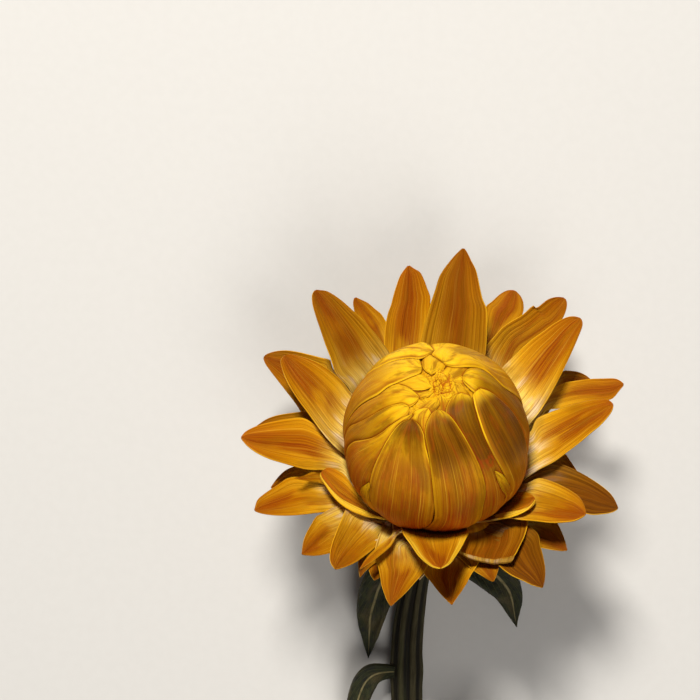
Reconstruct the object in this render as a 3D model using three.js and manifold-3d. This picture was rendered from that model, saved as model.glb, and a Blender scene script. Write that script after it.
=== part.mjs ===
// A dried strawflower as cut: a half-open head of papery bracts on a ribbed stem with curled leaves.
// It lies on a flat surface at z = 0. Units are millimetres and +Z is up.
// The origin is the small flat spot under the stem, where the stem first lies on the surface behind the head.
// The cut stem runs along -Y from there, and the head faces up and towards +Y.
import * as THREE from "three";
import { mergeVertices } from "three/addons/utils/BufferGeometryUtils.js";
import Module from "manifold-3d";

const wasm = await Module();
wasm.setup();

// Driving dimensions of the head. Its own frame has +Z along the flower's axis, +X as the part's +X,
// and its origin at the centre of the ring from which the bracts spread.
const HEAD_PLACE = new THREE.Vector3(2.6, 20.5, 13.4);
const HEAD_TILT = THREE.MathUtils.degToRad(38); // of the flower's axis from upright, towards +Y
const DOME_RADIUS = 10.2;
const DOME_CENTRE = 5.6; // height of the dome's middle over the ring
const DOME_BASE = -0.7;
const DIMPLE_DEPTH = 0.9; // of the hollow at the dome's top, where the tips of its bracts meet
const DIMPLE_SPREAD = THREE.MathUtils.degToRad(13);
const CORE_DEPTH = 1.3; // of the dome's core under its outermost bracts
const DISC_TOP = -1.0;
const DISC_BOTTOM = -3.5;
const DISC_RADIUS = 9.2;
const CUP_TOP = -3.8;
const CUP_BOTTOM = -7.6;
const ROOT_RADIUS = 7.6; // where the spreading bracts start, well inside the disc's rim

const PAPER = 0.6; // thickness of a bract
const LEAF_THICKNESS = 0.65;
const SLIVER = 0.02; // faces thinner than this are merged with their neighbours

// Outlines of the blades: the root's share of the full width, where along the blade that is reached,
// and how blunt the tip is. Cup is the height of a blade's edges over its middle, as a share of its half width.
const RAY_SHAPE = { outline: [0.78, 0.5, 2.3], cup: 0.26, rows: 6 };
const SCALE_SHAPE = { outline: [0.7, 0.4, 1.8], cup: 0.2, rows: 3, across: 2 };
const LEAF_SHAPE = { outline: [0.3, 0.42, 1.9], cup: 0.34, rows: 9, across: 4, thickness: LEAF_THICKNESS };
const CLOSED_SHAPE = { outline: [0.8, 0.5, 2.6], rows: 6, across: 4 };
const TIP_SHARE = 0.06; // of a blade's full width that is left at its tip

// Driving dimensions of the stem
const JOINING_GAP = 0.3; // between pieces that meet
const NECK_RADIUS = 1.15;
const STEM_RADIUS = 1.85;
const STEM_RIBS = 7;
const FURROW = 0.84; // of the stem's radius, at the bottom of a furrow
const REST_HEIGHT = 1.55; // of the stem's middle where it lies, so a crest is pressed flat
const STEM_END = -100;
const STEM_ARCH = 0.7; // of the lying stretch over the surface, at its middle
const STEM_WAVER = 1.3; // of the lying stretch to either side
const STEM_SLANT = 0.35; // of the cut end
const JOINT_SWELLING = 0.14;
const JOINT_LENGTH = 1.4;
const LEAF_WAVE = 9; // degrees by which a leaf rocks about its midrib

// The spreading bracts, as degrees and millimetres. Azimuth turns about the flower's axis from +X towards +Y,
// opening is the angle between the axis and the tip, and reach is the tip's distance from the ring's centre.
// The tip of a swept bract stands that much further round the axis than its root. Start is the angle from the
// axis at which a layer leaves the disc, and the bend is how far along that way a bract bends to its tip.
const RAY_BEND = 0.34;
const LAYERS = [
  { height: -1.4, start: 58, across: 4 },
  { height: -2.1, start: 78, across: 2 },
  { height: -2.8, start: 93, across: 2 },
];
const RAYS = [
  { layer: 0, azimuth: 3, opening: 64, reach: 21.2, width: 6.8 },
  { layer: 0, azimuth: 37, opening: 61, reach: 22.8, width: 6.8 },
  { layer: 0, azimuth: 82, opening: 60, reach: 25.2, width: 7.4 },
  { layer: 0, azimuth: 99, opening: 63, reach: 23.4, width: 6.2 },
  { layer: 0, azimuth: 130, opening: 61, reach: 23.7, width: 6.8 },
  { layer: 0, azimuth: 154, opening: 65, reach: 20.9, width: 6.6 },
  { layer: 0, azimuth: 184, opening: 70, reach: 22.5, width: 6.6 },
  { layer: 0, azimuth: 230, opening: 55, reach: 17.8, width: 6.4, sweep: -16 },
  { layer: 0, azimuth: 239, opening: 76, reach: 20.8, width: 7.2 },
  { layer: 0, azimuth: 271, opening: 68, reach: 20.0, width: 7.6 },
  { layer: 0, azimuth: 295, opening: 71, reach: 19.8, width: 7.2 },
  { layer: 0, azimuth: 291, opening: 55, reach: 19.6, width: 6.4, sweep: 17 },
  { layer: 0, azimuth: 324, opening: 71, reach: 20.4, width: 6.8 },
  { layer: 1, azimuth: 17, opening: 73, reach: 22.9, width: 6.2 },
  { layer: 1, azimuth: 50, opening: 69, reach: 24.4, width: 6.4 },
  { layer: 1, azimuth: 64, opening: 74, reach: 23.3, width: 5.6 },
  { layer: 1, azimuth: 116, opening: 74, reach: 23.0, width: 5.4 },
  { layer: 1, azimuth: 148, opening: 76, reach: 23.2, width: 6.2 },
  { layer: 1, azimuth: 173, opening: 79, reach: 20.5, width: 6.0 },
  { layer: 1, azimuth: 207, opening: 77, reach: 22.2, width: 6.8 },
  { layer: 1, azimuth: 225, opening: 82, reach: 20.0, width: 6.0 },
  { layer: 1, azimuth: 257, opening: 83, reach: 20.8, width: 7.2 },
  { layer: 1, azimuth: 300, opening: 82, reach: 21.5, width: 6.8 },
  { layer: 1, azimuth: 333, opening: 77, reach: 22.3, width: 6.4 },
  { layer: 2, azimuth: 31, opening: 82, reach: 20.6, width: 5.6 },
  { layer: 2, azimuth: 74, opening: 98, reach: 19.2, width: 5.8 },
  { layer: 2, azimuth: 93, opening: 98, reach: 18.6, width: 5.6 },
  { layer: 2, azimuth: 110, opening: 98, reach: 19.4, width: 5.8 },
  { layer: 2, azimuth: 134, opening: 92, reach: 19.6, width: 5.8 },
  { layer: 2, azimuth: 194, opening: 84, reach: 18.9, width: 5.4 },
  { layer: 2, azimuth: 245, opening: 88, reach: 17.6, width: 5.4 },
  { layer: 2, azimuth: 276, opening: 90, reach: 18.4, width: 6.8 },
  { layer: 2, azimuth: 290, opening: 88, reach: 17.4, width: 5.4 },
  { layer: 2, azimuth: 317, opening: 85, reach: 19.2, width: 6.0 },
  { layer: 2, azimuth: 352, opening: 85, reach: 16.6, width: 5.2 },
];

// The closed bracts of the dome, from the outermost in. Root and tip are degrees round the flower's axis and
// from it, and sink is how deep each edge is tucked in, first the edge that comes before the tip going round.
const CLOSED_ROOT = 126;
const CLOSED = [
  { root: 250, tip: [236, 28], width: 7.2, sink: [0, 0] },
  { root: 286, tip: [270, 21], width: 7.8, sink: [0.45, 0.05] },
  { root: 318, tip: [352, 25], width: 9.6, sink: [0.5, 0.1] },
  { root: 212, tip: [237, 26], width: 8.0, sink: [0.1, 0.5] },
  { root: 186, tip: [225, 14], width: 8.6, sink: [0.5, 0.6] },
  { root: 355, tip: [25, 20], width: 8.4, sink: [0.55, 0.35] },
  { root: 50, tip: [70, 19], width: 10.0, sink: [0.8, 0.3] },
  { root: 108, tip: [96, 20], width: 10.0, sink: [0.05, 0.6] },
  { root: 156, tip: [112, 11], width: 8.8, sink: [0.35, 0.75] },
];
// Whorls of smaller closed bracts, crumpled together where they meet at the dome's top
const CRUMPLED = [
  { count: 5, first: 336, root: 70, tip: 13, width: 6.4, sink: [1.0, 0.9] },
  { count: 5, first: 250, root: 36, tip: 3, width: 3.6, sink: [1.1, 0.7] },
];

// The short scales under the head, in whorls from the rim to the neck, as places in a plane through the axis.
const SCALE_WHORLS = [
  { count: 14, root: [6.6, -4.3], tip: [11.8, -5.0], width: 3.4 },
  { count: 11, root: [4.8, -5.3], tip: [9.2, -6.3], width: 3.3 },
  { count: 8, root: [2.9, -6.3], tip: [6.2, -7.6], width: 2.9 },
];

// The leaves. Each leaves the stem at its joint, a place along Y, and runs through its route to its tip,
// rolled about that line by one angle at the joint and another at the tip.
const LEAVES = [
  { joint: 9.6, route: [[7.0, 9.2, 4.6], [11.4, 5.8, 3.6], [12.8, 0.8, 1.0]], width: 4.6, roll: [-15, 20] },
  { joint: 8.6, route: [[-2.4, 7.6, 4.8], [-4.2, 3.2, 3.9], [-4.6, -2.8, 1.2]], width: 4.0, roll: [20, -20] },
  { joint: -4.2, route: [[-4.4, -4.6, 3.8], [-6.2, -9.2, 2.9], [-5.8, -17, 0.8]], width: 2.8, roll: [10, -20] },
  { joint: -19, route: [[7.6, -14.2, 5.4], [14.2, -15.2, 4.6], [18.6, -21.4, 0.8]], width: 6.2, roll: [-25, 30] },
  { joint: -42, route: [[-8, -36.4, 6.0], [-14.6, -36.8, 5.2], [-20.4, -43.6, 0.8]], width: 6.8, roll: [25, -35] },
  { joint: -66, route: [[7.8, -61.4, 5.4], [14.6, -63.6, 4.8], [18.0, -71.4, 0.8]], width: 6.4, roll: [-25, 35] },
];

const degrees = THREE.MathUtils.degToRad;

// A seeded random number from 0 to 1 at each call
function seeded(seed) {
  let state = seed;
  return () => {
    state = (Math.imul(state, 1664525) + 1013904223) >>> 0;
    return state / 4294967296;
  };
}

// A solid from a closed geometry, with its shared corners merged
function solidOf(geometry) {
  const bare = new THREE.BufferGeometry();
  bare.setAttribute("position", geometry.getAttribute("position"));
  bare.setIndex(geometry.index);
  const merged = mergeVertices(bare, 1e-4);
  return new wasm.Manifold(
    new wasm.Mesh({
      numProp: 3,
      vertProperties: new Float32Array(merged.getAttribute("position").array),
      triVerts: new Uint32Array(merged.index.array),
    }),
  );
}

// Joins solids in one body, filled where they close off a pocket and rid of loose scraps and slivers
function fused(solids) {
  const shells = wasm.Manifold.union(solids).simplify(SLIVER).decompose();
  return shells.reduce((largest, shell) => (shell.volume() > largest.volume() ? shell : largest));
}

// The solid's geometry, with flat faces
function geometryOf(solid) {
  const mesh = solid.getMesh();
  const geometry = new THREE.BufferGeometry();
  geometry.setAttribute("position", new THREE.BufferAttribute(mesh.vertProperties, 3));
  geometry.setIndex(new THREE.BufferAttribute(mesh.triVerts, 1));
  const faceted = geometry.toNonIndexed();
  faceted.computeVertexNormals();
  return faceted;
}

// A thin closed plate. top and bottom are grids of points with the same rows, from root to tip, and
// both faces are split into triangles alike.
function plate(top, bottom) {
  const rows = top.length;
  const columns = top[0].length;
  const points = [...top.flat(), ...bottom.flat()];
  const at = (face, row, column) => face * rows * columns + row * columns + column;
  const index = [];
  const quad = (a, b, c, d) => index.push(a, b, c, a, c, d);
  for (let i = 0; i + 1 < rows; i++) {
    for (let j = 0; j + 1 < columns; j++) {
      quad(at(0, i, j), at(0, i, j + 1), at(0, i + 1, j + 1), at(0, i + 1, j));
      index.push(at(1, i, j), at(1, i + 1, j + 1), at(1, i, j + 1));
      index.push(at(1, i, j), at(1, i + 1, j), at(1, i + 1, j + 1));
    }
    const last = columns - 1;
    quad(at(0, i, 0), at(0, i + 1, 0), at(1, i + 1, 0), at(1, i, 0));
    quad(at(0, i + 1, last), at(0, i, last), at(1, i, last), at(1, i + 1, last));
  }
  for (let j = 0; j + 1 < columns; j++) {
    quad(at(0, 0, j + 1), at(0, 0, j), at(1, 0, j), at(1, 0, j + 1));
    quad(at(0, rows - 1, j), at(0, rows - 1, j + 1), at(1, rows - 1, j + 1), at(1, rows - 1, j));
  }
  const geometry = new THREE.BufferGeometry().setFromPoints(points);
  geometry.setIndex(index);
  return geometry;
}

// The share of a blade's full width at a share of its length: narrow at the root, pointed at the tip
function bladeWidth(along, rootShare, widestAt, pointed) {
  if (along < widestAt) {
    return rootShare + (1 - rootShare) * Math.sin((along / widestAt) * (Math.PI / 2));
  }
  const past = (along - widestAt) / (1 - widestAt);
  return Math.max(1 - Math.pow(past, pointed), TIP_SHARE);
}

// A blade along a spine. frameAt gives the spine's point, sideways and face directions at a share of its length.
function blade(frameAt, { width, rows, across, cup, outline, thickness = PAPER }) {
  const top = [];
  const bottom = [];
  for (let i = 0; i <= rows; i++) {
    const along = i / rows;
    const { point, side, face } = frameAt(along);
    const half = (width / 2) * bladeWidth(along, ...outline);
    const grid = [...Array(across + 1).keys()].map((j) => {
      const u = (2 * j) / across - 1;
      const lift = cup * half * u * u;
      return point.clone().addScaledVector(side, u * half).addScaledVector(face, lift);
    });
    top.push(grid.map((p) => p.clone().addScaledVector(face, thickness / 2)));
    bottom.push(grid.map((p) => p.clone().addScaledVector(face, -thickness / 2)));
  }
  return plate(top, bottom);
}

// Turns a blade's sideways and face directions about its spine
function rolled({ point, side, face }, angle) {
  const turned = side.clone().multiplyScalar(Math.cos(angle)).addScaledVector(face, Math.sin(angle));
  const up = face.clone().multiplyScalar(Math.cos(angle)).addScaledVector(side, -Math.sin(angle));
  return { point, side: turned, face: up };
}

// Frames along a curve drawn in a plane through the flower's axis, x outwards and y along the axis.
// Sweep turns that plane about the axis on the way to the tip.
function frameInPlane(curve, azimuth, sweep = 0) {
  const axis = new THREE.Vector3(0, 0, 1);
  return (along) => {
    const outward = new THREE.Vector3(1, 0, 0).applyAxisAngle(axis, azimuth + sweep * along ** 2);
    const at = curve.getPoint(along);
    const way = curve.getTangent(along);
    const point = outward.clone().multiplyScalar(at.x).addScaledVector(axis, at.y);
    const face = outward.clone().multiplyScalar(-way.y).addScaledVector(axis, way.x);
    const side = outward.clone().cross(axis);
    return { point, side, face };
  };
}

// The curve of a spreading bract in its plane: it leaves the disc at its layer's angle and bends to its tip
function rayCurve({ layer, opening, reach }) {
  const { height, start } = LAYERS[layer];
  const root = new THREE.Vector2(ROOT_RADIUS, height);
  const tip = new THREE.Vector2(Math.sin(degrees(opening)), Math.cos(degrees(opening))).multiplyScalar(reach);
  const way = new THREE.Vector2(Math.sin(degrees(start)), Math.cos(degrees(start)));
  const bend = root.clone().addScaledVector(way, root.distanceTo(tip) * RAY_BEND);
  return new THREE.QuadraticBezierCurve(root, bend, tip);
}

function rayBlade(ray) {
  const frames = frameInPlane(rayCurve(ray), degrees(ray.azimuth), degrees(ray.sweep ?? 0));
  return blade(frames, { ...RAY_SHAPE, width: ray.width, across: LAYERS[ray.layer].across });
}

// The head's place and turn in the part
const headMatrix = new THREE.Matrix4().compose(
  HEAD_PLACE,
  new THREE.Quaternion().setFromEuler(new THREE.Euler(-HEAD_TILT, 0, 0)),
  new THREE.Vector3(1, 1, 1),
);

// A bract that would reach under the surface is pressed forward until its tip lies on it
function pressedUp(ray) {
  const lowest = (opening) => {
    const geometry = rayBlade({ ...ray, opening }).applyMatrix4(headMatrix);
    geometry.computeBoundingBox();
    return geometry.boundingBox.min.z;
  };
  let opening = ray.opening;
  while (lowest(opening) < 0) opening -= 0.05;
  return { ...ray, opening };
}

function lathe(profile, segments) {
  return new THREE.LatheGeometry(profile.map(([r, h]) => new THREE.Vector2(r, h)), segments).rotateX(Math.PI / 2);
}

// A block that fills everything under a height
function blockUnder(height) {
  return new THREE.BoxGeometry(300, 300, 20).translate(0, 0, height - 10);
}

function spreadingBracts() {
  const rim = 0.4;
  const disc = lathe(
    [
      [0, DISC_BOTTOM],
      [DISC_RADIUS - rim, DISC_BOTTOM],
      [DISC_RADIUS, DISC_BOTTOM + rim],
      [DISC_RADIUS, DISC_TOP - rim],
      [DISC_RADIUS - rim, DISC_TOP],
      [0, DISC_TOP],
    ],
    36,
  );
  const rays = RAYS.map(pressedUp).map(rayBlade).map(solidOf);
  const dome = new THREE.SphereGeometry(DOME_RADIUS + JOINING_GAP, 32, 20).translate(0, 0, DOME_CENTRE);
  const roomForDome = solidOf(dome).subtract(solidOf(blockUnder(DISC_TOP)));
  return fused([fused([solidOf(disc), ...rays]).subtract(roomForDome)]);
}

// The dome's radius at an angle from the flower's axis, with a shallow dimple where the tips meet
function domeRadius(angle) {
  return DOME_RADIUS - DIMPLE_DEPTH * Math.exp(-Math.pow(angle / DIMPLE_SPREAD, 2));
}

// The direction from the dome's middle at an angle round the flower's axis and an angle from it
function onDome(azimuth, polar) {
  const around = degrees(azimuth);
  const out = Math.sin(degrees(polar));
  return new THREE.Vector3(out * Math.cos(around), out * Math.sin(around), Math.cos(degrees(polar)));
}

// A closed bract hugs the dome as a thick scale whose underside is sunk in the core
function closedBract({ root, tip, width, sink }) {
  const { rows, across, outline } = CLOSED_SHAPE;
  const from = onDome(...root);
  const to = onDome(...tip);
  const turn = new THREE.Vector3().crossVectors(from, to).normalize();
  const reach = from.angleTo(to);
  const outer = [];
  const inner = [];
  for (let i = 0; i <= rows; i++) {
    const along = i / rows;
    const middle = from.clone().applyAxisAngle(turn, reach * along);
    const ahead = new THREE.Vector3().crossVectors(turn, middle);
    const half = (width / 2) * bladeWidth(along, ...outline);
    const ways = [...Array(across + 1).keys()].map((j) => {
      const u = (2 * j) / across - 1;
      return middle.clone().applyAxisAngle(ahead, (u * half) / DOME_RADIUS);
    });
    const height = (way) => domeRadius(way.angleTo(new THREE.Vector3(0, 0, 1)));
    const depth = (j) => THREE.MathUtils.lerp(sink[0], sink[1], j / across);
    outer.push(ways.map((way, j) => way.clone().multiplyScalar(height(way) - depth(j))));
    inner.push(ways.map((way) => way.clone().multiplyScalar(height(way) - 2 * CORE_DEPTH)));
  }
  return plate(outer, inner).translate(0, 0, DOME_CENTRE);
}

function closedBracts() {
  const core = new THREE.SphereGeometry(DOME_RADIUS - CORE_DEPTH, 24, 14).translate(0, 0, DOME_CENTRE);
  const outer = CLOSED.map((bract) => ({ ...bract, root: [bract.root, CLOSED_ROOT] }));
  const crumpled = CRUMPLED.flatMap(({ count, first, root, tip, ...shape }) =>
    [...Array(count).keys()].map((k) => {
      const azimuth = first + (360 * k) / count;
      return { root: [azimuth, root], tip: [azimuth, tip], ...shape };
    }),
  );
  const bracts = [...outer, ...crumpled].map(closedBract).map(solidOf);
  return fused([fused([solidOf(core), ...bracts]).subtract(solidOf(blockUnder(DOME_BASE)))]);
}

function involucre() {
  const cup = lathe(
    [
      [0, CUP_BOTTOM],
      [NECK_RADIUS + 0.5, CUP_BOTTOM],
      [2.6, -6.9],
      [5.2, -5.8],
      [7.6, -4.7],
      [8.6, CUP_TOP],
      [0, CUP_TOP],
    ],
    28,
  );
  const random = seeded(3);
  const scales = SCALE_WHORLS.flatMap(({ count, root, tip, width }, whorl) =>
    [...Array(count).keys()].map((k) => {
      const azimuth = degrees((360 * (k + whorl / 2 + 0.3 * random())) / count);
      const droop = 0.4 * random();
      const curve = new THREE.QuadraticBezierCurve(
        new THREE.Vector2(...root),
        new THREE.Vector2((root[0] + tip[0]) / 2, (root[1] + tip[1]) / 2 - droop),
        new THREE.Vector2(tip[0], tip[1] - droop / 2),
      );
      return solidOf(blade(frameInPlane(curve, azimuth), { ...SCALE_SHAPE, width }));
    }),
  );
  return fused([solidOf(cup), ...scales]);
}

// The stem's middle line: an even crook from the head down to the surface, then a gently wavering run along it
function stemCurve() {
  const axis = new THREE.Vector3(0, Math.sin(HEAD_TILT), Math.cos(HEAD_TILT));
  const neck = HEAD_PLACE.clone().addScaledVector(axis, CUP_BOTTOM - JOINING_GAP);
  const bend = Math.PI / 2 - HEAD_TILT;
  const radius = (neck.z - REST_HEIGHT) / (1 - Math.cos(bend));
  const points = [];
  const crookSteps = 5;
  for (let i = 0; i < crookSteps; i++) {
    const left = bend * (1 - i / crookSteps);
    const y = neck.y - radius * (Math.sin(bend) - Math.sin(left));
    const z = neck.z - radius * (Math.cos(left) - Math.cos(bend));
    points.push(new THREE.Vector3(HEAD_PLACE.x * THREE.MathUtils.smoothstep(y, 0, neck.y), y, z));
  }
  const runSteps = 9;
  for (let i = 0; i <= runSteps; i++) {
    const along = i / runSteps;
    const arch = STEM_ARCH * Math.sin(Math.PI * along) ** 2;
    const waver = STEM_WAVER * Math.sin(2 * Math.PI * along) * along;
    points.push(new THREE.Vector3(-waver, STEM_END * along, REST_HEIGHT + arch));
  }
  return new THREE.CatmullRomCurve3(points, false, "centripetal");
}

// The stem's radius: slim at the neck, full from the first leaf joints down, and a little thicker at each joint
function stemRadius(y) {
  const grown = THREE.MathUtils.smoothstep(-y, -14, 1);
  const near = LEAVES.reduce((sum, { joint }) => sum + Math.exp(-(((y - joint) / JOINT_LENGTH) ** 2)), 0);
  return NECK_RADIUS + (STEM_RADIUS - NECK_RADIUS) * grown + JOINT_SWELLING * Math.min(near, 1);
}

// The stem as a solid. With a clearance it is rounder and that much wider, to cut what grows from it.
function stemSolid(curve, clearance = 0) {
  const rings = 34;
  const sides = STEM_RIBS * 2;
  const points = [];
  for (let i = 0; i <= rings; i++) {
    const centre = curve.getPointAt(i / rings);
    const way = curve.getTangentAt(i / rings);
    const side = new THREE.Vector3(1, 0, 0).addScaledVector(way, -way.x).normalize();
    const up = side.clone().cross(way).negate();
    for (let k = 0; k < sides; k++) {
      const angle = (2 * Math.PI * k) / sides - Math.PI / 2;
      const furrow = k % 2 && !clearance ? FURROW : 1;
      const radius = stemRadius(centre.y) * furrow + clearance;
      const point = centre.clone();
      point.addScaledVector(side, radius * Math.cos(angle)).addScaledVector(up, radius * Math.sin(angle));
      if (i === rings) point.y += STEM_SLANT * (point.z - centre.z);
      points.push(point);
    }
  }
  const index = [];
  const at = (ring, k) => ring * sides + (k % sides);
  for (let i = 0; i < rings; i++) {
    for (let k = 0; k < sides; k++) {
      index.push(at(i, k), at(i, k + 1), at(i + 1, k + 1), at(i, k), at(i + 1, k + 1), at(i + 1, k));
    }
  }
  const start = points.push(curve.getPointAt(0)) - 1;
  const end = points.push(curve.getPointAt(1)) - 1;
  for (let k = 0; k < sides; k++) {
    index.push(start, at(0, k + 1), at(0, k));
    index.push(end, at(rings, k), at(rings, k + 1));
  }
  const geometry = new THREE.BufferGeometry().setFromPoints(points);
  geometry.setIndex(index);
  return solidOf(geometry);
}

// The stem as it lies, flat where it is pressed on the surface
function restingStem(curve) {
  return stemSolid(curve).subtract(solidOf(blockUnder(0)));
}

// The point of the stem's middle line at a place along Y
function stemPoint(curve, y) {
  let along = 0;
  while (curve.getPointAt(along).y > y) along += 0.001;
  return curve.getPointAt(along);
}

// A dried leaf: folded along its midrib, rolled along its length and waved at its edges
function leaf({ joint, route, width, roll }, curve, random) {
  const spine = new THREE.CatmullRomCurve3([stemPoint(curve, joint), ...route.map((p) => new THREE.Vector3(...p))]);
  const phase = 2 * Math.PI * random();
  const frames = (along) => {
    const point = spine.getPointAt(along);
    const way = spine.getTangentAt(along);
    const side = new THREE.Vector3(0, 0, 1).cross(way).normalize().negate();
    const face = way.clone().cross(side).negate();
    const wave = degrees(LEAF_WAVE) * Math.sin(phase + 3 * Math.PI * along);
    const angle = degrees(THREE.MathUtils.lerp(roll[0], roll[1], along)) + wave;
    return rolled({ point, side, face }, angle);
  };
  const whole = solidOf(blade(frames, { ...LEAF_SHAPE, width }));
  return fused([whole.subtract(stemSolid(curve, JOINING_GAP))]);
}

const colours = {
  dome: { color: "#d9a21b", roughness: 0.5 },
  ray: { color: "#cf8214", roughness: 0.5 },
  straw: { color: "#8a6526", roughness: 0.65 },
  stem: { color: "#4a4326", roughness: 0.85 },
  leaf: { color: "#3c4023", roughness: 0.8 },
};

function piece(name, solid, look) {
  const material = new THREE.MeshStandardMaterial({ ...colours[look], metalness: 0, side: THREE.DoubleSide });
  const mesh = new THREE.Mesh(geometryOf(solid), material);
  mesh.name = name;
  return mesh;
}

const head = new THREE.Group();
head.position.copy(HEAD_PLACE);
head.rotation.x = -HEAD_TILT;
head.add(piece("closed_bracts", closedBracts(), "dome"));
head.add(piece("spreading_bracts", spreadingBracts(), "ray"));
head.add(piece("involucre", involucre(), "straw"));

const flower = new THREE.Group();
flower.add(head);
const stemLine = stemCurve();
flower.add(piece("stem", restingStem(stemLine), "stem"));
const random = seeded(7);
LEAVES.forEach((shape, i) => flower.add(piece(`leaf_${i + 1}`, leaf(shape, stemLine, random), "leaf")));

export default flower;
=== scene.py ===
"""A dried strawflower lying on a pale surface, seen from straight above.

Fine bracts, scales, stem and leaves take the place of the plain solids and keep their form.
Lengths are millimetres here and become metres when a mesh is made. Lights and materials are in metres.
"""
import math

import bpy
import numpy as np
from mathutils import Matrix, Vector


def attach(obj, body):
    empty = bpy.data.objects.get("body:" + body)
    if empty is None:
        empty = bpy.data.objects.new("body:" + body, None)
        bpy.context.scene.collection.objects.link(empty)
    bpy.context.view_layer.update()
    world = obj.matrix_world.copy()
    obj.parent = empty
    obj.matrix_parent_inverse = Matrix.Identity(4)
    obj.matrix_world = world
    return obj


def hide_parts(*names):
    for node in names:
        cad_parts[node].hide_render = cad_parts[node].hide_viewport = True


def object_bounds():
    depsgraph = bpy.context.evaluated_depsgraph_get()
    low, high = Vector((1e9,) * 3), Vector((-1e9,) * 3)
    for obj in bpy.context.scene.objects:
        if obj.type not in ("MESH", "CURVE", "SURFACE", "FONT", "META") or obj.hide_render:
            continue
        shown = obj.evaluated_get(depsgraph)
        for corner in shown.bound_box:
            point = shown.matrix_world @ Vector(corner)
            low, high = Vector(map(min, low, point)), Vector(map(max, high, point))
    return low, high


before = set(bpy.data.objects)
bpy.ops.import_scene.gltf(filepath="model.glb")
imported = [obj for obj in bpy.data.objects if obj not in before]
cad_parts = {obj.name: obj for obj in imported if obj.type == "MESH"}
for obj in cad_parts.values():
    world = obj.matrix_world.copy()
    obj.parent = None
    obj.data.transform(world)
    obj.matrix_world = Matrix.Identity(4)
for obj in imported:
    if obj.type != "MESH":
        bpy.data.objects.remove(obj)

cad_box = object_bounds()

MM = 0.001
UP = np.array([0.0, 0.0, 1.0])

# The photograph's camera looks straight down. Places in the photograph are in its pixels, from its top left.
PHOTO_SIZE = 700
PIXEL = 0.1088  # millimetres at the dome's middle
DOME_PIXEL = (436, 436)
LENS = 100
SENSOR = 36

# The head. Its own frame has +Z along the flower's axis and its origin in the ring that carries the bracts.
HEAD_PLACE = np.array([2.6, 20.5, 13.4])
HEAD_TILT = math.radians(38)  # of the flower's axis from upright, towards +Y
HEAD_AXIS = np.array([0, math.sin(HEAD_TILT), math.cos(HEAD_TILT)])
DOME_RADIUS = 10.2
DOME_CENTRE = 5.6
DOME_SWELLING = 0.4
DIMPLE_DEPTH = 0.9
DIMPLE_SPREAD = math.radians(13)
CORE_DEPTH = 0.55
CORE_DIP = 0.35  # deeper still under the crumpled knot
CORE_DIP_EDGE = [math.radians(22), math.radians(34)]
DISC_TOP = -1.0
DISC_BOTTOM = -3.5
DISC_RADIUS = 9.2
DISC_RIM = 0.5
DISC_BEVEL = 0.15
CUP_TOP = -3.8
CUP_BOTTOM = -7.6
AXIS_GAP = 0.05  # radius at the ends of the turned forms
TURNED_SIDES = 96
ROOT_RADIUS = 7.6  # of the ring where the spreading bracts start
JOINING_GAP = 0.3  # between the cup and the top of the stem
DOME_PLACE = HEAD_PLACE + DOME_CENTRE * HEAD_AXIS
CAMERA_PLACE = DOME_PLACE + PIXEL * np.array([
    PHOTO_SIZE / 2 - DOME_PIXEL[0],
    DOME_PIXEL[1] - PHOTO_SIZE / 2,
    LENS / SENSOR * PHOTO_SIZE,
])

# The stem
NECK_RADIUS = 1.15
STEM_RADIUS = 1.85
STEM_RIBS = 7
FINE_RIBS = (9, 13, 17, 22, 27)  # fainter ones between them
FURROW = 0.84  # of the radius, between two ribs
REST_HEIGHT = 1.55
STEM_END = -100
STEM_ARCH = 0.7
STEM_WAVER = 1.3
STEM_SLANT = 0.35  # of the cut at its end
JOINT_SWELLING = 0.14
JOINT_LENGTH = 1.4
# The cut end turns in over a small rim to a sunken pith: shares of the radius, and places along the stem
CUT_END = [(0.97, 0.0), (0.9, -0.02), (0.6, -0.1), (0.3, -0.12), (0.05, -0.14)]

RAY_BEND = 0.34  # of a bract's length, from its root to the point that its curve bends towards
# The layers of spreading bracts: the height where they start, their way there in degrees from the flower's
# axis, and how brown they are
RAY_LAYERS = [
    dict(name="ray_bracts_inner", height=-1.4, start=58, age=0.0),
    dict(name="ray_bracts_middle", height=-2.1, start=78, age=0.3),
    dict(name="ray_bracts_outer", height=-2.8, start=93, age=0.45),
]
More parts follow.
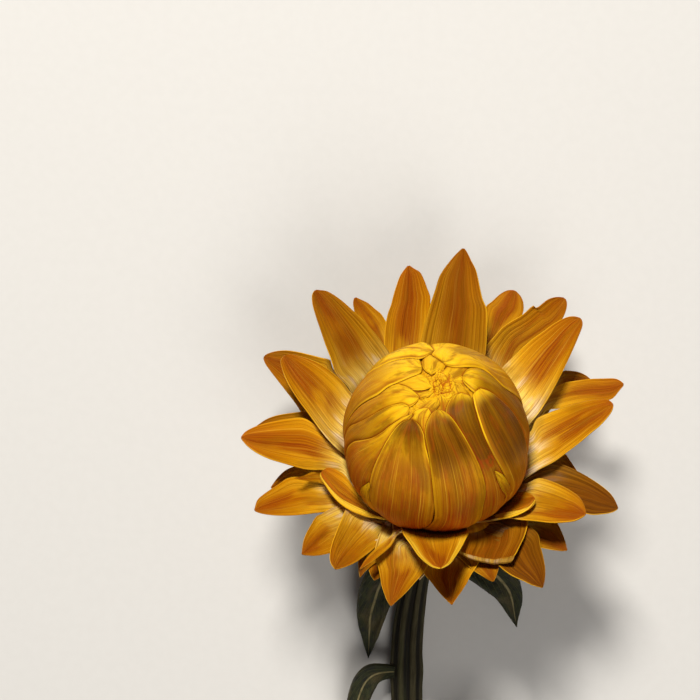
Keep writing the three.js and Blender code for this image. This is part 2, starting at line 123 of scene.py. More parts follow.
# The spreading bracts: degrees round the flower's axis, degrees from it, reach and width. Where the
# photograph shows an edge, left or right as seen with the tip up, it is traced there from the root to the
# tip. The bract whose tip is None ends in a fold, and those with no tip are out of sight. Hidden is the share
# of a bract's colouring that is used up where its traces begin, age is how brown it is, and sweep is how far
# its tip is turned round the axis. Rolled is the edge that is rolled in, and margin is how much of half its
# width is bright at the edges.
RAYS = [
    dict(layer=0, azimuth=3, opening=64, reach=21.2, width=6.8, tip=(613.5, 404.5),
         left=[(530, 433), (537, 420), (550, 413.5), (575, 405), (590, 401), (600, 399.5), (607, 399.5),
               (611, 401.5)],
         right=[(528, 476), (537, 470.5), (553, 462.5), (565, 453.5), (580, 442), (590, 433.5),
                (600, 425.5), (611, 412.5)]),
    dict(layer=0, azimuth=37, opening=61, reach=22.8, width=6.8, tip=(581, 318),
         left=[(503, 368), (509, 362), (520, 351), (533, 339.5), (545, 331), (556, 323), (568, 317),
               (575, 316.3)],
         right=[(530, 424), (540, 412), (550, 396), (557, 383), (565, 367), (572, 352), (578, 338),
                (582.5, 325)]),
    dict(layer=0, azimuth=82, opening=60, reach=25.2, width=7.4, hidden=0.5, tip=(463.5, 247), age=0.45,
         left=[(421, 342), (424, 327), (430, 305), (435, 290), (440, 275), (449, 262), (456, 254)],
         right=[(486, 350), (487, 330), (486.5, 308), (483, 300), (480.5, 290), (476, 270), (472, 262),
                (467, 252)]),
    dict(layer=0, azimuth=99, opening=63, reach=23.4, width=6.2, hidden=0.5, tip=(408.5, 264.5),
         left=[(383, 360), (384, 345), (385, 328), (388, 313), (391, 305), (393, 297), (396, 287),
               (400, 276), (404, 270)],
         right=[(428, 345), (430, 325), (430, 306), (430, 296), (427, 288), (424.5, 281), (420, 272),
                (415, 269)]),
    dict(layer=0, azimuth=130, opening=61, reach=23.7, width=6.8, tip=(315, 289.5), age=0.4,
         left=[(350, 391), (336, 375), (330, 358), (325, 345), (320, 330), (315, 315), (312, 303),
               (312, 295)],
         right=[(388, 353), (383, 345), (372, 331), (360, 318), (350, 309), (340, 300), (327, 291.3),
                (320, 290)]),
    dict(layer=0, azimuth=154, opening=65, reach=20.9, width=6.6, tip=(284, 355.5),
         left=[(341, 453), (325, 438), (306, 413), (298, 402), (291, 391), (285, 379), (281.5, 368),
               (280.5, 361)],
         right=[(354, 396), (342, 381), (328, 369), (318, 363), (308, 359), (298, 356), (290, 354.3)]),
    dict(layer=0, azimuth=184, opening=70, reach=22.5, width=6.6, tip=(240.5, 437.5),
         left=[(344, 474), (330, 471), (305, 469), (297, 467), (285, 463.5), (270, 459), (257, 453),
               (248, 446.5), (243, 441)],
         right=[(341, 444), (325, 432), (303, 418.5), (290, 419), (275, 421.5), (262, 424.5), (252, 428),
                (245, 432)]),
    dict(layer=0, azimuth=234, opening=68, reach=22.0, width=3.2, sweep=-120,
         tip=(321.5, 471), rolled="left",
         left=[(380, 518.5), (365, 516), (350, 510.5), (340, 504), (332, 495.5), (326, 486), (321, 477)],
         right=[(381, 517), (372, 511.5), (362, 499.5), (352, 486.5), (344, 475.5), (336, 470),
                (328, 468)]),
    dict(layer=1, azimuth=239, opening=77, reach=20.8, width=7.2, tip=(335.5, 569.5), age=0.25,
         left=[(402, 531), (388, 541), (375, 549), (366, 556), (355, 563.5), (345, 567.5)],
         right=[(347, 508), (341, 520), (336, 532), (332, 543), (330, 553), (330.5, 562)]),
    dict(layer=0, azimuth=250, opening=78, reach=19.6, width=3.6, tip=(359, 570),
         left=[(403, 532), (390, 547), (378, 557), (367, 565)],
         right=[(392, 534), (380, 545), (372, 552), (365, 560)]),
    dict(layer=0, azimuth=271, opening=68, reach=20.0, width=7.6, tip=(441, 568.5), margin=0.2, hidden=0.45,
         left=[(468, 527), (469, 532), (466, 540), (461, 550), (455, 559), (450, 564.5)],
         right=[(400.5, 526), (403, 533), (410, 543), (418, 554), (425, 561), (432, 566)]),
    dict(layer=1, azimuth=310, opening=80, reach=19.8, width=7.2, sweep=-40, tip=None, age=0.75,
         left=[(528, 520), (525.5, 535), (520, 547), (513, 560)],
         right=[(472, 524), (467, 538), (461.5, 552), (463, 555)]),
    dict(layer=0, azimuth=312, opening=60, reach=22.0, width=3.2, sweep=20, tip=(535, 498), rolled="right",
         left=[(490, 506), (500, 500), (510, 495.5), (518, 493), (525, 492), (531, 494)],
         right=[(470, 522), (485, 522), (497, 520.5), (510, 519), (520, 515.5), (528, 510.5), (533, 504)]),
    dict(layer=0, azimuth=324, opening=71, reach=20.4, width=6.8, tip=(586, 514.5), age=0.1,
         left=[(524, 483), (538, 478), (548, 480), (560, 485), (571, 491), (580, 498), (585, 507)],
         right=[(506, 519), (520, 521), (535, 522), (550, 523.5), (562, 523), (573, 521.5), (580, 518.5)]),
    dict(layer=1, azimuth=199, opening=70, reach=18.5, width=2.6, tip=(294, 478), age=0.0,
         left=[(338, 492), (322, 483.5), (310, 481), (300, 479.5)],
         right=[(338, 472), (322, 469.5), (312, 472), (303, 476)]),
    dict(layer=1, azimuth=17, opening=73, reach=22.9, width=6.2, hidden=0.42, tip=(624.5, 384.3),
         left=[(556, 387), (565, 383), (575, 381), (590, 379), (603, 378.5), (615, 378.5), (620, 380.5)],
         right=[(545, 412), (560, 409), (575, 405), (590, 403), (604, 402), (613, 399), (619, 391.5)]),
    dict(layer=1, azimuth=50, opening=69, reach=24.4, width=6.4, hidden=0.5, tip=(565, 297.5),
         left=[(486, 347), (495, 336), (505, 325.5), (523, 314.5), (534, 305.5), (536, 308),
               (548, 299.5), (556, 297)],
         right=[(520, 355), (536, 342), (550, 332), (563, 318), (566.5, 309), (567, 303)]),
    dict(layer=1, azimuth=64, opening=74, reach=23.3, width=5.6, hidden=0.5, tip=(515, 290),
         left=[(484, 330), (485, 315), (487, 306), (492, 302), (500, 294.5), (507, 290.5)],
         right=[(505, 340), (515, 325), (523, 313), (523.5, 303), (521, 296.5)]),
    dict(layer=1, azimuth=116, opening=74, reach=23.0, width=5.4, hidden=0.5, tip=(354.5, 296.5),
         left=[(366, 338), (360, 326), (354.5, 312), (353, 303)],
         right=[(392, 332), (386, 322), (381, 314), (375, 309), (368, 303), (361, 299.5)]),
    dict(layer=1, azimuth=148, opening=76, reach=23.2, width=6.2, hidden=0.42, tip=(263, 357.5),
         left=[(308, 422), (296, 404), (287, 392), (279, 382), (271, 372), (265.5, 364)],
         right=[(332, 370), (329, 361), (320, 358.5), (308, 355.5), (295, 352.5), (283, 351), (273, 352),
                (266, 354.5)]),
    dict(layer=1, azimuth=173, opening=79, reach=20.5, width=6.0, hidden=0.42, tip=(254, 427.5),
         right=[(310, 412), (300, 412), (288, 413.5), (275, 416), (266, 419.5)],
         left=[(312, 448), (290, 444), (268, 437)]),
    dict(layer=1, azimuth=207, opening=77, reach=22.2, width=6.8, tip=(254, 510.5),
         left=[(354, 511), (330, 512.5), (315, 514), (300, 515.5), (285, 516), (270, 515), (260, 513)],
         right=[(334, 488), (322, 483), (310, 481), (297, 477.5), (287, 479), (280, 483.5), (271, 489.5),
                (263, 495), (257, 500.5)]),
    dict(layer=1, azimuth=225, opening=82, reach=20.0, width=6.0, hidden=0.42, tip=(301.5, 554.5), age=0.25,
         left=[(346, 549), (335, 552.5), (325, 555), (313, 556)],
         right=[(330, 510), (322, 514), (316, 517), (311, 525), (306, 534), (303, 542)]),
    dict(layer=1, azimuth=257, opening=83, reach=20.8, width=7.2, hidden=0.42, tip=(391, 606.5),
         left=[(424, 550), (429, 562), (424, 572), (415, 583), (405, 594), (397, 601)],
         right=[(374, 556), (378, 566), (380, 575), (381.5, 584), (384, 592), (387, 600)]),
    # Fully browned, partly as painted shade from the bract beside it
    dict(layer=1, azimuth=300, opening=82, reach=21.5, width=6.8, hidden=0.42, tip=(543, 588), age=1.0,
         left=[(538, 535), (541, 548), (544, 560), (545.5, 570), (545, 580)],
         right=[(480, 550), (493, 560), (502, 568), (512, 575), (522, 580), (532, 585)]),
    # Fully browned, partly as painted shade from the bract that lies over it
    dict(layer=1, azimuth=333, opening=77, reach=22.3, width=6.4, tip=(618.5, 508.5), age=1.0,
         left=[(530, 473), (540, 467), (552, 462.5), (562, 464.5), (577, 471), (590, 478), (602, 486),
               (611, 494), (616, 502)],
         right=[(560, 514), (585, 514.5), (592, 515.5), (603, 514.5), (612, 512.5)]),
    dict(layer=2, azimuth=31, opening=82, reach=20.6, width=5.6, hidden=0.42, tip=(591, 379.5),
         left=[(556, 376), (564, 371), (572, 371), (580, 372.5), (587, 376)],
         right=[(560, 400), (575, 393), (586, 386)]),
    dict(layer=2, azimuth=74, opening=98, reach=19.2, width=5.8),
    dict(layer=2, azimuth=93, opening=98, reach=18.6, width=5.6),
    dict(layer=2, azimuth=110, opening=98, reach=19.4, width=5.8),
    dict(layer=2, azimuth=134, opening=92, reach=19.6, width=5.8),
    dict(layer=2, azimuth=194, opening=84, reach=18.9, width=5.4, hidden=0.42, tip=(270.5, 487.5),
         left=[(318, 500), (300, 498), (282, 494)],
         right=[(310, 466), (300, 465), (293, 467.5), (285, 471), (279, 476), (274.5, 481.5)]),
    dict(layer=2, azimuth=233, opening=88, reach=17.6, width=4.6, tip=(360, 577.5),
         left=[(384, 556), (376, 563), (366, 571)],
         right=[(358, 545), (357.5, 555), (358, 562), (358.5, 570)]),
    dict(layer=2, azimuth=245, opening=88, reach=17.6, width=5.0, tip=(374.5, 580.5),
         left=[(396, 560), (388, 570), (380, 577.5)],
         right=[(366, 552), (367, 562), (368.5, 569), (371, 575.5)]),
    dict(layer=2, azimuth=276, opening=90, reach=18.4, width=6.8, hidden=0.42, tip=(452, 605), age=0.0,
         left=[(480, 560), (476, 569), (472, 575), (466, 586), (458, 597)],
         right=[(420, 560), (424, 575), (430, 582), (438, 592), (446, 600)]),
    dict(layer=2, azimuth=290, opening=88, reach=17.4, width=5.4, hidden=0.42, tip=(493.5, 581.5),
         left=[(504, 550), (501, 562), (498, 571), (496, 577)],
         right=[(458, 558), (465, 565), (473, 571), (482, 576), (490, 580.5)]),
    dict(layer=2, azimuth=317, opening=85, reach=19.2, width=6.0, hidden=0.42, tip=(567.5, 550.5),
         left=[(552, 514), (558, 524), (561, 530), (565, 540)],
         right=[(520, 546), (541, 548), (552, 550), (562, 551)]),
    dict(layer=2, azimuth=352, opening=85, reach=16.6, width=5.2, tip=(577.5, 471.5),
         left=[(552, 450), (560, 450), (566, 454.5), (572, 463)],
         right=[(548, 488), (562, 484), (572, 478)]),
]

# The closed bracts of the dome, each lying over those after it. Both edges are traced in the photograph from
# near the root to the tip, with left and right as seen with the tip up. Roots are the degrees round the axis
# where the edges start, out of sight. Sink is how deep the left and right edges are tucked in, at the root
# and then at the tip. Shade is how bronze the bract gets, and where along it that starts and ends. Streaks is
# how tan and red-streaked it is below.
CLOSED_ROOT = 126  # degrees from the axis
CLOSED = [
    dict(roots=(312, 319), tip=(494.5, 470.5), sink=(0.1, 0.1, 0.1, 0.1), streaks=0.8,
         left=[(505, 497), (501, 489), (497, 480)],
         right=[(510, 491), (507, 482), (501, 473.5)]),
    dict(roots=(221, 229), tip=(370, 481.5), sink=(0.05, 0.05, 0.05, 0.05), streaks=0.2,
         left=[(361, 497), (361.5, 488)],
         right=[(369.5, 492), (371, 486)]),
    dict(roots=(258, 300),
         tip=(437.5, 408), sink=(0.0, 0.05, 0.05, 0.05), shade=(1.0, 0.66, 0.94), streaks=1.0,
         left=[(434, 520), (433.5, 500), (431.5, 480), (429.5, 463), (427, 448), (424.5, 434),
               (427, 421), (431.5, 413)],
         right=[(483, 505), (485.5, 492), (483.5, 477), (478, 461), (471, 447), (464, 434.5), (451, 416),
                (444, 410.5)]),
    dict(roots=(230, 266),
         tip=(411, 418.5), sink=(0.05, 0.0, 0.1, 0.12), shade=(0.95, 0.81, 1.1), streaks=0.9,
         left=[(378, 511), (370.5, 500), (370, 488), (373, 471), (379, 455), (386, 441), (393, 430),
               (401, 422)],
         right=[(433, 519), (435.5, 500), (434.5, 482), (430, 463), (425.5, 447), (423, 433), (418, 424)]),
    dict(roots=(202, 236),
         tip=(412.5, 413), sink=(0.0, 0.35, 0.1, 0.25), shade=(0.2, 0.8, 1.1), streaks=0.7,
         left=[(345, 453), (352, 442), (362, 440), (372, 437.5), (381, 432), (388, 426), (396, 420.5),
               (403, 416.5)],
         right=[(380, 500), (382, 480), (388, 460), (396, 440), (404, 426)]),
    dict(roots=(184, 214),
         tip=(408.5, 406.5), sink=(0.15, 0.35, 0.15, 0.4), shade=(0.35, 0.5, 0.85), streaks=0.5,
         left=[(346, 428), (356, 422), (366, 417), (376, 411), (386, 406), (394, 403.5), (401, 402.3),
               (406, 404)],
         right=[(362, 460), (372, 448), (382, 438), (391, 430), (399, 422), (406, 414)]),
    dict(roots=(316, 356),
         tip=(481, 387), sink=(0.1, 0.0, 0.12, 0.05), shade=(1.0, 0.50, 0.91), streaks=0.6,
         left=[(508, 490), (504, 476), (497, 462), (490, 447), (484, 432), (479, 415), (475.5, 402),
               (475, 392.5)],
         right=[(528, 450), (526.5, 437), (521, 421.5), (512, 407.5), (502, 398), (491, 390.5)]),
    dict(roots=(290, 328),
         tip=(463, 390), sink=(0.35, 0.35, 0.25, 0.25), shade=(1.0, 0.54, 0.93), streaks=0.5,
         left=[(474, 500), (470, 470), (460, 445), (449, 425), (446, 410), (450, 399), (455, 392.5)],
         right=[(513, 487), (510, 470), (503, 456), (496, 442), (490, 427), (484, 411), (478, 400),
                (471, 394)]),
    dict(roots=(90, 142), tip=(434, 348.5), sink=(0.1, 0.0, 0.1, 0.05), streaks=0.1,
         left=[(431.5, 345)],
         right=[(376, 367), (386, 361.5), (397, 358), (409, 356), (418, 356.5), (425, 354.5),
                (430, 351.5)]),
    dict(roots=(26, 104), tip=(443, 359), sink=(0.05, 0.25, 0.1, 0.2), streaks=0.15,
         left=[(507, 388), (498, 379.5), (490, 372.3), (481, 367), (468, 365.2), (456, 364), (449, 362)],
         right=[(426, 344), (431, 351)]),
    dict(roots=(118, 184),
         tip=(421.5, 364), sink=(0.35, 0.1, 0.3, 0.12), shade=(0.2, 0.3, 0.7), streaks=0.6,
         left=[(372, 366), (388, 352), (404, 347), (416, 350)],
         right=[(354, 408), (365, 399.5), (376, 393.5), (386, 385.5), (395, 381), (405, 376.5),
                (419, 369.3)]),
    dict(roots=(160, 200),
         tip=(418.5, 394.5), sink=(0.3, 0.35, 0.22, 0.35), shade=(0.25, 0.5, 0.8), streaks=0.5,
         left=[(350, 400), (362, 389), (373, 382), (383, 380), (391, 381), (400, 382.7), (408, 385.5),
               (414, 390)],
         right=[(352, 444), (363, 434), (376, 424), (388, 415), (400, 409), (411, 404), (416, 399)]),
    dict(roots=(344, 32), tip=(464, 372.5), sink=(0.35, 0.3, 0.3, 0.2), shade=(0.6, 0.45, 0.9), streaks=0.5,
         left=[(516, 436), (503, 417), (491, 403), (481, 394), (474, 388.5), (468, 382), (465, 377)],
         right=[(526, 402), (514, 387), (504, 377), (493, 369), (483, 364.5), (474, 364.5), (467, 367.8)]),
]
# Thin red cracks in the closed bracts, as traces in the photograph
CRACKS = [
    [(477, 458), (481, 462), (486, 461), (490, 455)],
    [(486, 461), (489, 465), (493, 463)],
    [(481, 462), (483, 467), (487, 468)],
    [(490, 455), (493, 458), (492, 462)],
]
CRACK_WIDTH = 0.13
CRACK_DEPTH = 0.06
# The small tips that show between them round the crumpled knot, and how deep they lie
INNER = [
    dict(tip=(427.5, 407), depth=0.40, left=[(414, 456), (409, 430), (409, 415), (413, 409.5), (420, 407.7)],
         right=[(431, 456), (432, 430), (431, 418), (430.5, 411)]),
    dict(tip=(437.5, 395), depth=0.48,
         left=[(410, 420), (414, 411), (419, 404.5), (425, 399.8), (431, 396.5)],
         right=[(430, 418), (436, 408), (440, 401)]),
    dict(tip=(441.5, 390.5), depth=0.56, left=[(432, 414), (434, 407), (437, 398)],
         right=[(458, 412), (454, 402), (449, 394)]),
    dict(tip=(456.5, 379), depth=0.50, left=[(458, 404), (454.5, 394), (453.5, 385)],
         right=[(476, 404), (473.5, 394), (468, 385.5), (462, 380)]),
    dict(tip=(446, 375), depth=0.56, left=[(470, 381), (458, 379.5), (450, 378.5)],
         right=[(472, 368), (461, 370.5), (451, 372)]),
    dict(tip=(431, 369), depth=0.36, left=[(449, 350), (447, 360), (441, 366)],
         right=[(424, 350), (421, 360), (424, 366)]),
    dict(tip=(438, 373), depth=0.54, left=[(476, 364), (466, 372), (455, 374), (446, 374)],
         right=[(452, 350), (444, 362), (439, 368)]),
    dict(tip=(432, 381), depth=0.42, left=[(372, 391), (385, 384), (398, 377), (412, 370), (424, 371)],
         right=[(374, 397), (386, 389), (398, 386), (412, 387.5), (423, 386)]),
    dict(tip=(433, 388), depth=0.46, left=[(405, 386), (415, 387), (424, 385)],
         right=[(408, 402), (418, 397), (427, 393)]),
]
INNER_RISE = 0.34  # of their ends above the depths given
KNOT_REACH = 32  # degrees from the axis
KNOT_TOP = 0.42
KNOT_DEPTH = 0.74
KNOT_EDGE = [math.radians(5), math.radians(12)]
KNOT_CREASES = [(22, 0.30), (46, 0.18), (90, 0.07)]  # creases to a radian, and height between them
KNOT_CREASE_WIDTH = 0.13

# The short scales under the head, as places in a plane through the flower's axis
SCALE_WHORLS = [
    dict(count=14, root=(6.6, -4.3), tip=(11.8, -5.0), width=3.4),
    dict(count=11, root=(4.8, -5.3), tip=(9.2, -6.3), width=3.3),
    dict(count=8, root=(2.9, -6.3), tip=(6.2, -7.6), width=2.9),
]
SCALE_THICKNESS = 0.4

# The leaves: where each joins the stem, the way to its tip, its width and its roll in degrees
LEAVES = [
    dict(joint=9.6, width=4.6, roll=(-15, 20), route=[(7.0, 9.2, 4.6), (11.4, 5.8, 3.6), (12.8, 0.8, 1.0)]),
    dict(joint=8.6, width=4.0, roll=(20, -20), route=[(-2.4, 7.6, 4.8), (-4.2, 3.2, 3.9), (-4.6, -2.8, 1.2)]),
    dict(joint=-4.2, width=2.8, roll=(10, -20),
         route=[(-4.4, -4.6, 3.8), (-6.2, -9.2, 2.9), (-5.8, -17, 0.8)]),
    dict(joint=-19, width=6.2, roll=(-25, 30),
         route=[(7.6, -14.2, 5.4), (14.2, -15.2, 4.6), (18.6, -21.4, 0.8)]),
    dict(joint=-42, width=6.8, roll=(25, -35),
         route=[(-8, -36.4, 6.0), (-14.6, -36.8, 5.2), (-20.4, -43.6, 0.8)]),
    dict(joint=-66, width=6.4, roll=(-25, 35),
         route=[(7.8, -61.4, 5.4), (14.6, -63.6, 4.8), (18.0, -71.4, 0.8)]),
]
LEAF_WAVE = math.radians(9)


# Small vector helpers, on arrays whose last axis is x, y, z

def unit(v):
    return v / np.linalg.norm(v, axis=-1, keepdims=True)


def smooth(x, low, high):
    t = np.clip((x - low) / (high - low), 0, 1)
    return t * t * (3 - 2 * t)


def bell(x, middle, spread):
    return np.exp(-(((x - middle) / spread) ** 2))


def turned(v, axis, angle):
    """v turned about a unit axis, by one angle or an array of them"""
    c = np.cos(angle)[..., None]
    s = np.sin(angle)[..., None]
    along = (v * axis).sum(-1, keepdims=True) * axis
    return v * c + np.cross(axis, v) * s + along * (1 - c)


def ripple(rng, *inputs, waves=5, rate=3.0):
    """A smooth random wave of the inputs, about -1 to 1"""
    total = 0
    for _ in range(waves):
        phase = rng.uniform(0, 2 * math.pi)
        total = total + np.sin(phase + sum(rng.normal(0, rate) * x for x in inputs))
    return total / math.sqrt(waves) * 0.8


def head_to_part(points):
    """Points in the head's own frame, in the part's frame"""
    x, y, z = points[..., 0], points[..., 1], points[..., 2]
    c, s = math.cos(HEAD_TILT), math.sin(HEAD_TILT)
    return np.stack([x, y * c + z * s, z * c - y * s], -1) + HEAD_PLACE


def arched(t, root, bend, tip):
    """A plane curve from root to tip, bent towards a third point, and the way along it"""
    points = (1 - t) ** 2 * root + 2 * t * (1 - t) * bend + t ** 2 * tip
    return points, unit(2 * (1 - t) * (bend - root) + 2 * t * (tip - bend))


def stood_up(around, points, slope):
    """A plane curve in a plane through the flower's axis, with the ways across it and out of its face"""
    outward = np.stack([np.cos(around), np.sin(around), 0 * around], -1)
    centre = outward * points[..., :1] + UP * points[..., 1:]
    face = -outward * slope[..., 1:] + UP * slope[..., :1]
    return centre, np.cross(outward, UP), face


def section(across):
    """Places round a blade's closed section: u from -1 to 1 on its face and back on its underside"""
    top = np.linspace(-1, 1, across + 1)
    # More points towards the edges, where the rim turns
    top = np.sign(top) * np.abs(top) ** 0.8
    facing = np.concatenate([np.ones(across + 1), -np.ones(across - 1)])
    facing[[0, across]] = 0
    return np.concatenate([top, top[-2:0:-1]]), facing


def between(left, right, u):
    """Rows of places from a blade's left edge to its right edge"""
    share = ((u + 1) / 2)[None, :, None]
    return left[:, None] * (1 - share) + right[:, None] * share


def blade_width(along, root_share, widest_at, pointed, tip_share):
    """Share of a blade's full width: narrow at the root, pointed at the tip"""
    rising = root_share + (1 - root_share) * np.sin(np.clip(along / widest_at, 0, 1) * math.pi / 2)
    past = np.clip((along - widest_at) / (1 - widest_at), 0, 1)
    return np.where(along < widest_at, rising, np.maximum(1 - past ** pointed, tip_share))


class Curve:
    """A centripetal Catmull-Rom curve through points, read by share of its length"""

    SAMPLES = 40
    STEP = 0.004

    def __init__(self, points):
        p = np.array(points, float)
        p = np.vstack([2 * p[0] - p[1], p, 2 * p[-1] - p[-2]])
        out = []
        for a, b, c, d in zip(p, p[1:], p[2:], p[3:]):
            t0 = 0.0
            t1 = t0 + np.linalg.norm(b - a) ** 0.5
            t2 = t1 + np.linalg.norm(c - b) ** 0.5
            t3 = t2 + np.linalg.norm(d - c) ** 0.5
            t = np.linspace(t1, t2, self.SAMPLES, endpoint=False)[:, None]
            ab = (t1 - t) / (t1 - t0) * a + (t - t0) / (t1 - t0) * b
            bc = (t2 - t) / (t2 - t1) * b + (t - t1) / (t2 - t1) * c
            cd = (t3 - t) / (t3 - t2) * c + (t - t2) / (t3 - t2) * d
            abc = (t2 - t) / (t2 - t0) * ab + (t - t0) / (t2 - t0) * bc
            bcd = (t3 - t) / (t3 - t1) * bc + (t - t1) / (t3 - t1) * cd
            out.append((t2 - t) / (t2 - t1) * abc + (t - t1) / (t2 - t1) * bcd)
        self.path = np.vstack(out + [p[-2:-1]])
        steps = np.linalg.norm(np.diff(self.path, axis=0), axis=1)
        self.length = np.concatenate([[0], np.cumsum(steps)])

    def at(self, share):
        want = np.asarray(share) * self.length[-1]
        return np.stack([np.interp(want, self.length, values) for values in self.path.T], -1)

    def way(self, share):
        return unit(self.at(np.minimum(share + self.STEP, 1)) - self.at(np.maximum(share - self.STEP, 0)))


def placed(name, data):
    """A new object in the scene"""
    thing = bpy.data.objects.new(name, data)
    bpy.context.scene.collection.objects.link(thing)
    return thing


class Sheaf:
    """Many blades gathered into one mesh, with marks that the materials read"""

    def __init__(self):
        self.points = []
        self.faces = []
        self.uvs = []
        self.marks = {"chance": [], "age": [], "back": [], "crease": [], "shade": [], "bright": []}
        self.count = 0

    def add(self, loops, u, v, **marks):
        """Rings of points from root to tip. u and v are the blade's places across and along, 0 to 1."""
        shape = loops.shape[:2]
        ids = np.arange(shape[0] * shape[1]).reshape(shape) + self.count
        following = np.roll(ids, -1, 1)
        quads = np.stack([ids[:-1], following[:-1], following[1:], ids[1:]], -1).reshape(-1, 4)
        self.faces += quads.tolist()
        self.faces.append(ids[0][::-1].tolist())
        self.faces.append(ids[-1].tolist())
        self.points.append(loops.reshape(-1, 3))
        uv = np.stack([np.broadcast_to(u, shape), np.broadcast_to(v, shape)], -1)
        self.uvs.append(uv.reshape(-1, 2))
        for name, values in self.marks.items():
            values.append(np.broadcast_to(marks.get(name, 0.0), shape).reshape(-1))
        self.count += ids.size

    def piece(self, name, material):
        mesh = bpy.data.meshes.new(name)
        mesh.from_pydata((np.concatenate(self.points) * MM).tolist(), [], self.faces)
        mesh.polygons.foreach_set("use_smooth", [True] * len(mesh.polygons))
        corners = np.empty(len(mesh.loops), dtype=np.int32)
        mesh.loops.foreach_get("vertex_index", corners)
        layer = mesh.uv_layers.new(name="blade")
        layer.data.foreach_set("uv", np.concatenate(self.uvs)[corners].astype(np.float32).ravel())
        for mark, values in self.marks.items():
            attribute = mesh.attributes.new(mark, "FLOAT", "POINT")
            attribute.data.foreach_set("value", np.concatenate(values).astype(np.float32))
        mesh.materials.append(material)
        mesh.validate()
        thing = placed(name, mesh)
        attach(thing, "root")
        return thing


# Node graphs for the materials

class Value:
    """What a node gives out. A sum, difference or product of it is a node too."""

    def __init__(self, graph, socket):
        self.graph = graph
        self.socket = socket

    def __add__(self, other):
        return self.graph.maths("ADD", self, other)

    def __sub__(self, other):
        return self.graph.maths("SUBTRACT", self, other)

    def __mul__(self, other):
        return self.graph.maths("MULTIPLY", self, other)

    def __abs__(self):
        return self.graph.maths("ABSOLUTE", self)


class Graph:
    """Short ways to write a material's nodes. Its colour is painted over, coat by coat."""

    def __init__(self, name):
        self.material = bpy.data.materials.new(name)
        self.material.use_nodes = True
        self.tree = self.material.node_tree
        self.colour = None

    def node(self, kind, inputs, output=0, **settings):
        """One output of a new node, whose inputs go by number or name"""
        made = self.tree.nodes.new("ShaderNode" + kind)
        for key, value in settings.items():
            setattr(made, key, value)
        for key, value in inputs.items():
            self.put(made.inputs[key], value)
        return Value(self, made.outputs[output])

    def put(self, socket, value):
        if isinstance(value, Value):
            self.tree.links.new(value.socket, socket)
        elif socket.type == "RGBA":
            socket.default_value = (*value, 1.0)
        else:
            socket.default_value = value

    def maths(self, operation, a, b=0.0):
        return self.node("Math", {0: a, 1: b}, operation=operation)

    def ramp(self, value, low, high, start=0.0, end=1.0):
        """value from low to high becomes start to end, smoothly and held at both ends"""
        inputs = {0: value, 1: low, 2: high, 3: start, 4: end}
        return self.node("MapRange", inputs, interpolation_type="SMOOTHSTEP")

    def mark(self, name):
        return self.node("Attribute", {}, output="Fac", attribute_name=name)

    def uv(self):
        """A blade's places across and along, 0 to 1"""
        where = self.node("UVMap", {}, uv_map="blade")
        return [self.node("SeparateXYZ", {0: where}, output=axis) for axis in ("X", "Y")]

    def place(self, x, y, z):
        return self.node("CombineXYZ", {0: x, 1: y, 2: z})

    def noise(self, where, scale=1.0, detail=2.0, roughness=0.5):
        inputs = {"Vector": where, "Scale": scale, "Detail": detail, "Roughness": roughness}
        return self.node("TexNoise", inputs)

    def pattern(self, x, y, z, **settings):
        """Noise at a place that three values give"""
        return self.noise(self.place(x, y, z), **settings)

    def mix(self, share, a, b, blend="MIX"):
        inputs = {0: share, 6: a, 7: b}
        return self.node("Mix", inputs, output=2, data_type="RGBA", blend_type=blend)

    def paint(self, share, colour, blend="MIX"):
        """One more coat over the colour"""
        self.colour = self.mix(share, self.colour, colour, blend)

    def stops(self, value, *colours):
        """A colour ramp through (place, colour) stops"""
        made = self.tree.nodes.new("ShaderNodeValToRGB")
        self.put(made.inputs[0], value)
        elements = made.color_ramp.elements
        elements[0].position = colours[0][0]
        elements[1].position = colours[-1][0]
        for where, colour in colours[1:-1]:
            elements.new(where)
        for element, (where, colour) in zip(elements, colours):
            element.color = (*colour, 1.0)
        return Value(self, made.outputs[0])

    def bump(self, height, distance, strength):
        inputs = {"Height": height, "Distance": distance, "Strength": strength}
        return self.node("Bump", inputs, output="Normal")

    def finish(self, **values):
        """The material, with its painted colour and the shader's other values"""
        shader = self.tree.nodes["Principled BSDF"]
        self.put(shader.inputs["Base Color"], self.colour)
        for key, value in values.items():
            self.put(shader.inputs[key.replace("_", " ")], value)
        return self.material


def bract_fibres(g, u, v, seed):
    """Fine fibres along a bract: broad, middling and hair-thin"""
    across = u + g.pattern(u * 1.5, v * 2.0, seed) * 0.012
    broad = g.pattern(across * 14.0, v * 0.5, seed, roughness=0.6)
    lines = g.pattern(across * 40.0, v * 0.7, seed, detail=3.0, roughness=0.7)
    hair = g.pattern(across * 120.0, v * 1.8, seed)
    return broad, lines, hair


def paper_surface(g, lines, hair, depth):
    """The satin, slightly translucent surface that both kinds of bract share, with painted shade in its
    crevices
    """
    # Painted shade: ambient occlusion darkens the crevices to red-brown
    crevice = g.node("AmbientOcclusion", {"Distance": 0.0005}, output="AO", samples=10)
    g.paint(g.ramp(crevice, 0.25, 0.82, 0.88, 0.0), (0.21, 0.040, 0.002))
    return g.finish(
        Roughness=g.ramp(lines, 0.3, 0.7, 0.36, 0.5),
        Normal=g.bump(lines * 0.65 + hair * 0.35, depth, 0.7),
        Specular_IOR_Level=0.05,
        Subsurface_Weight=0.08,
        Subsurface_Radius=(1.0, 0.5, 0.05),
        Subsurface_Scale=0.0004,
    )


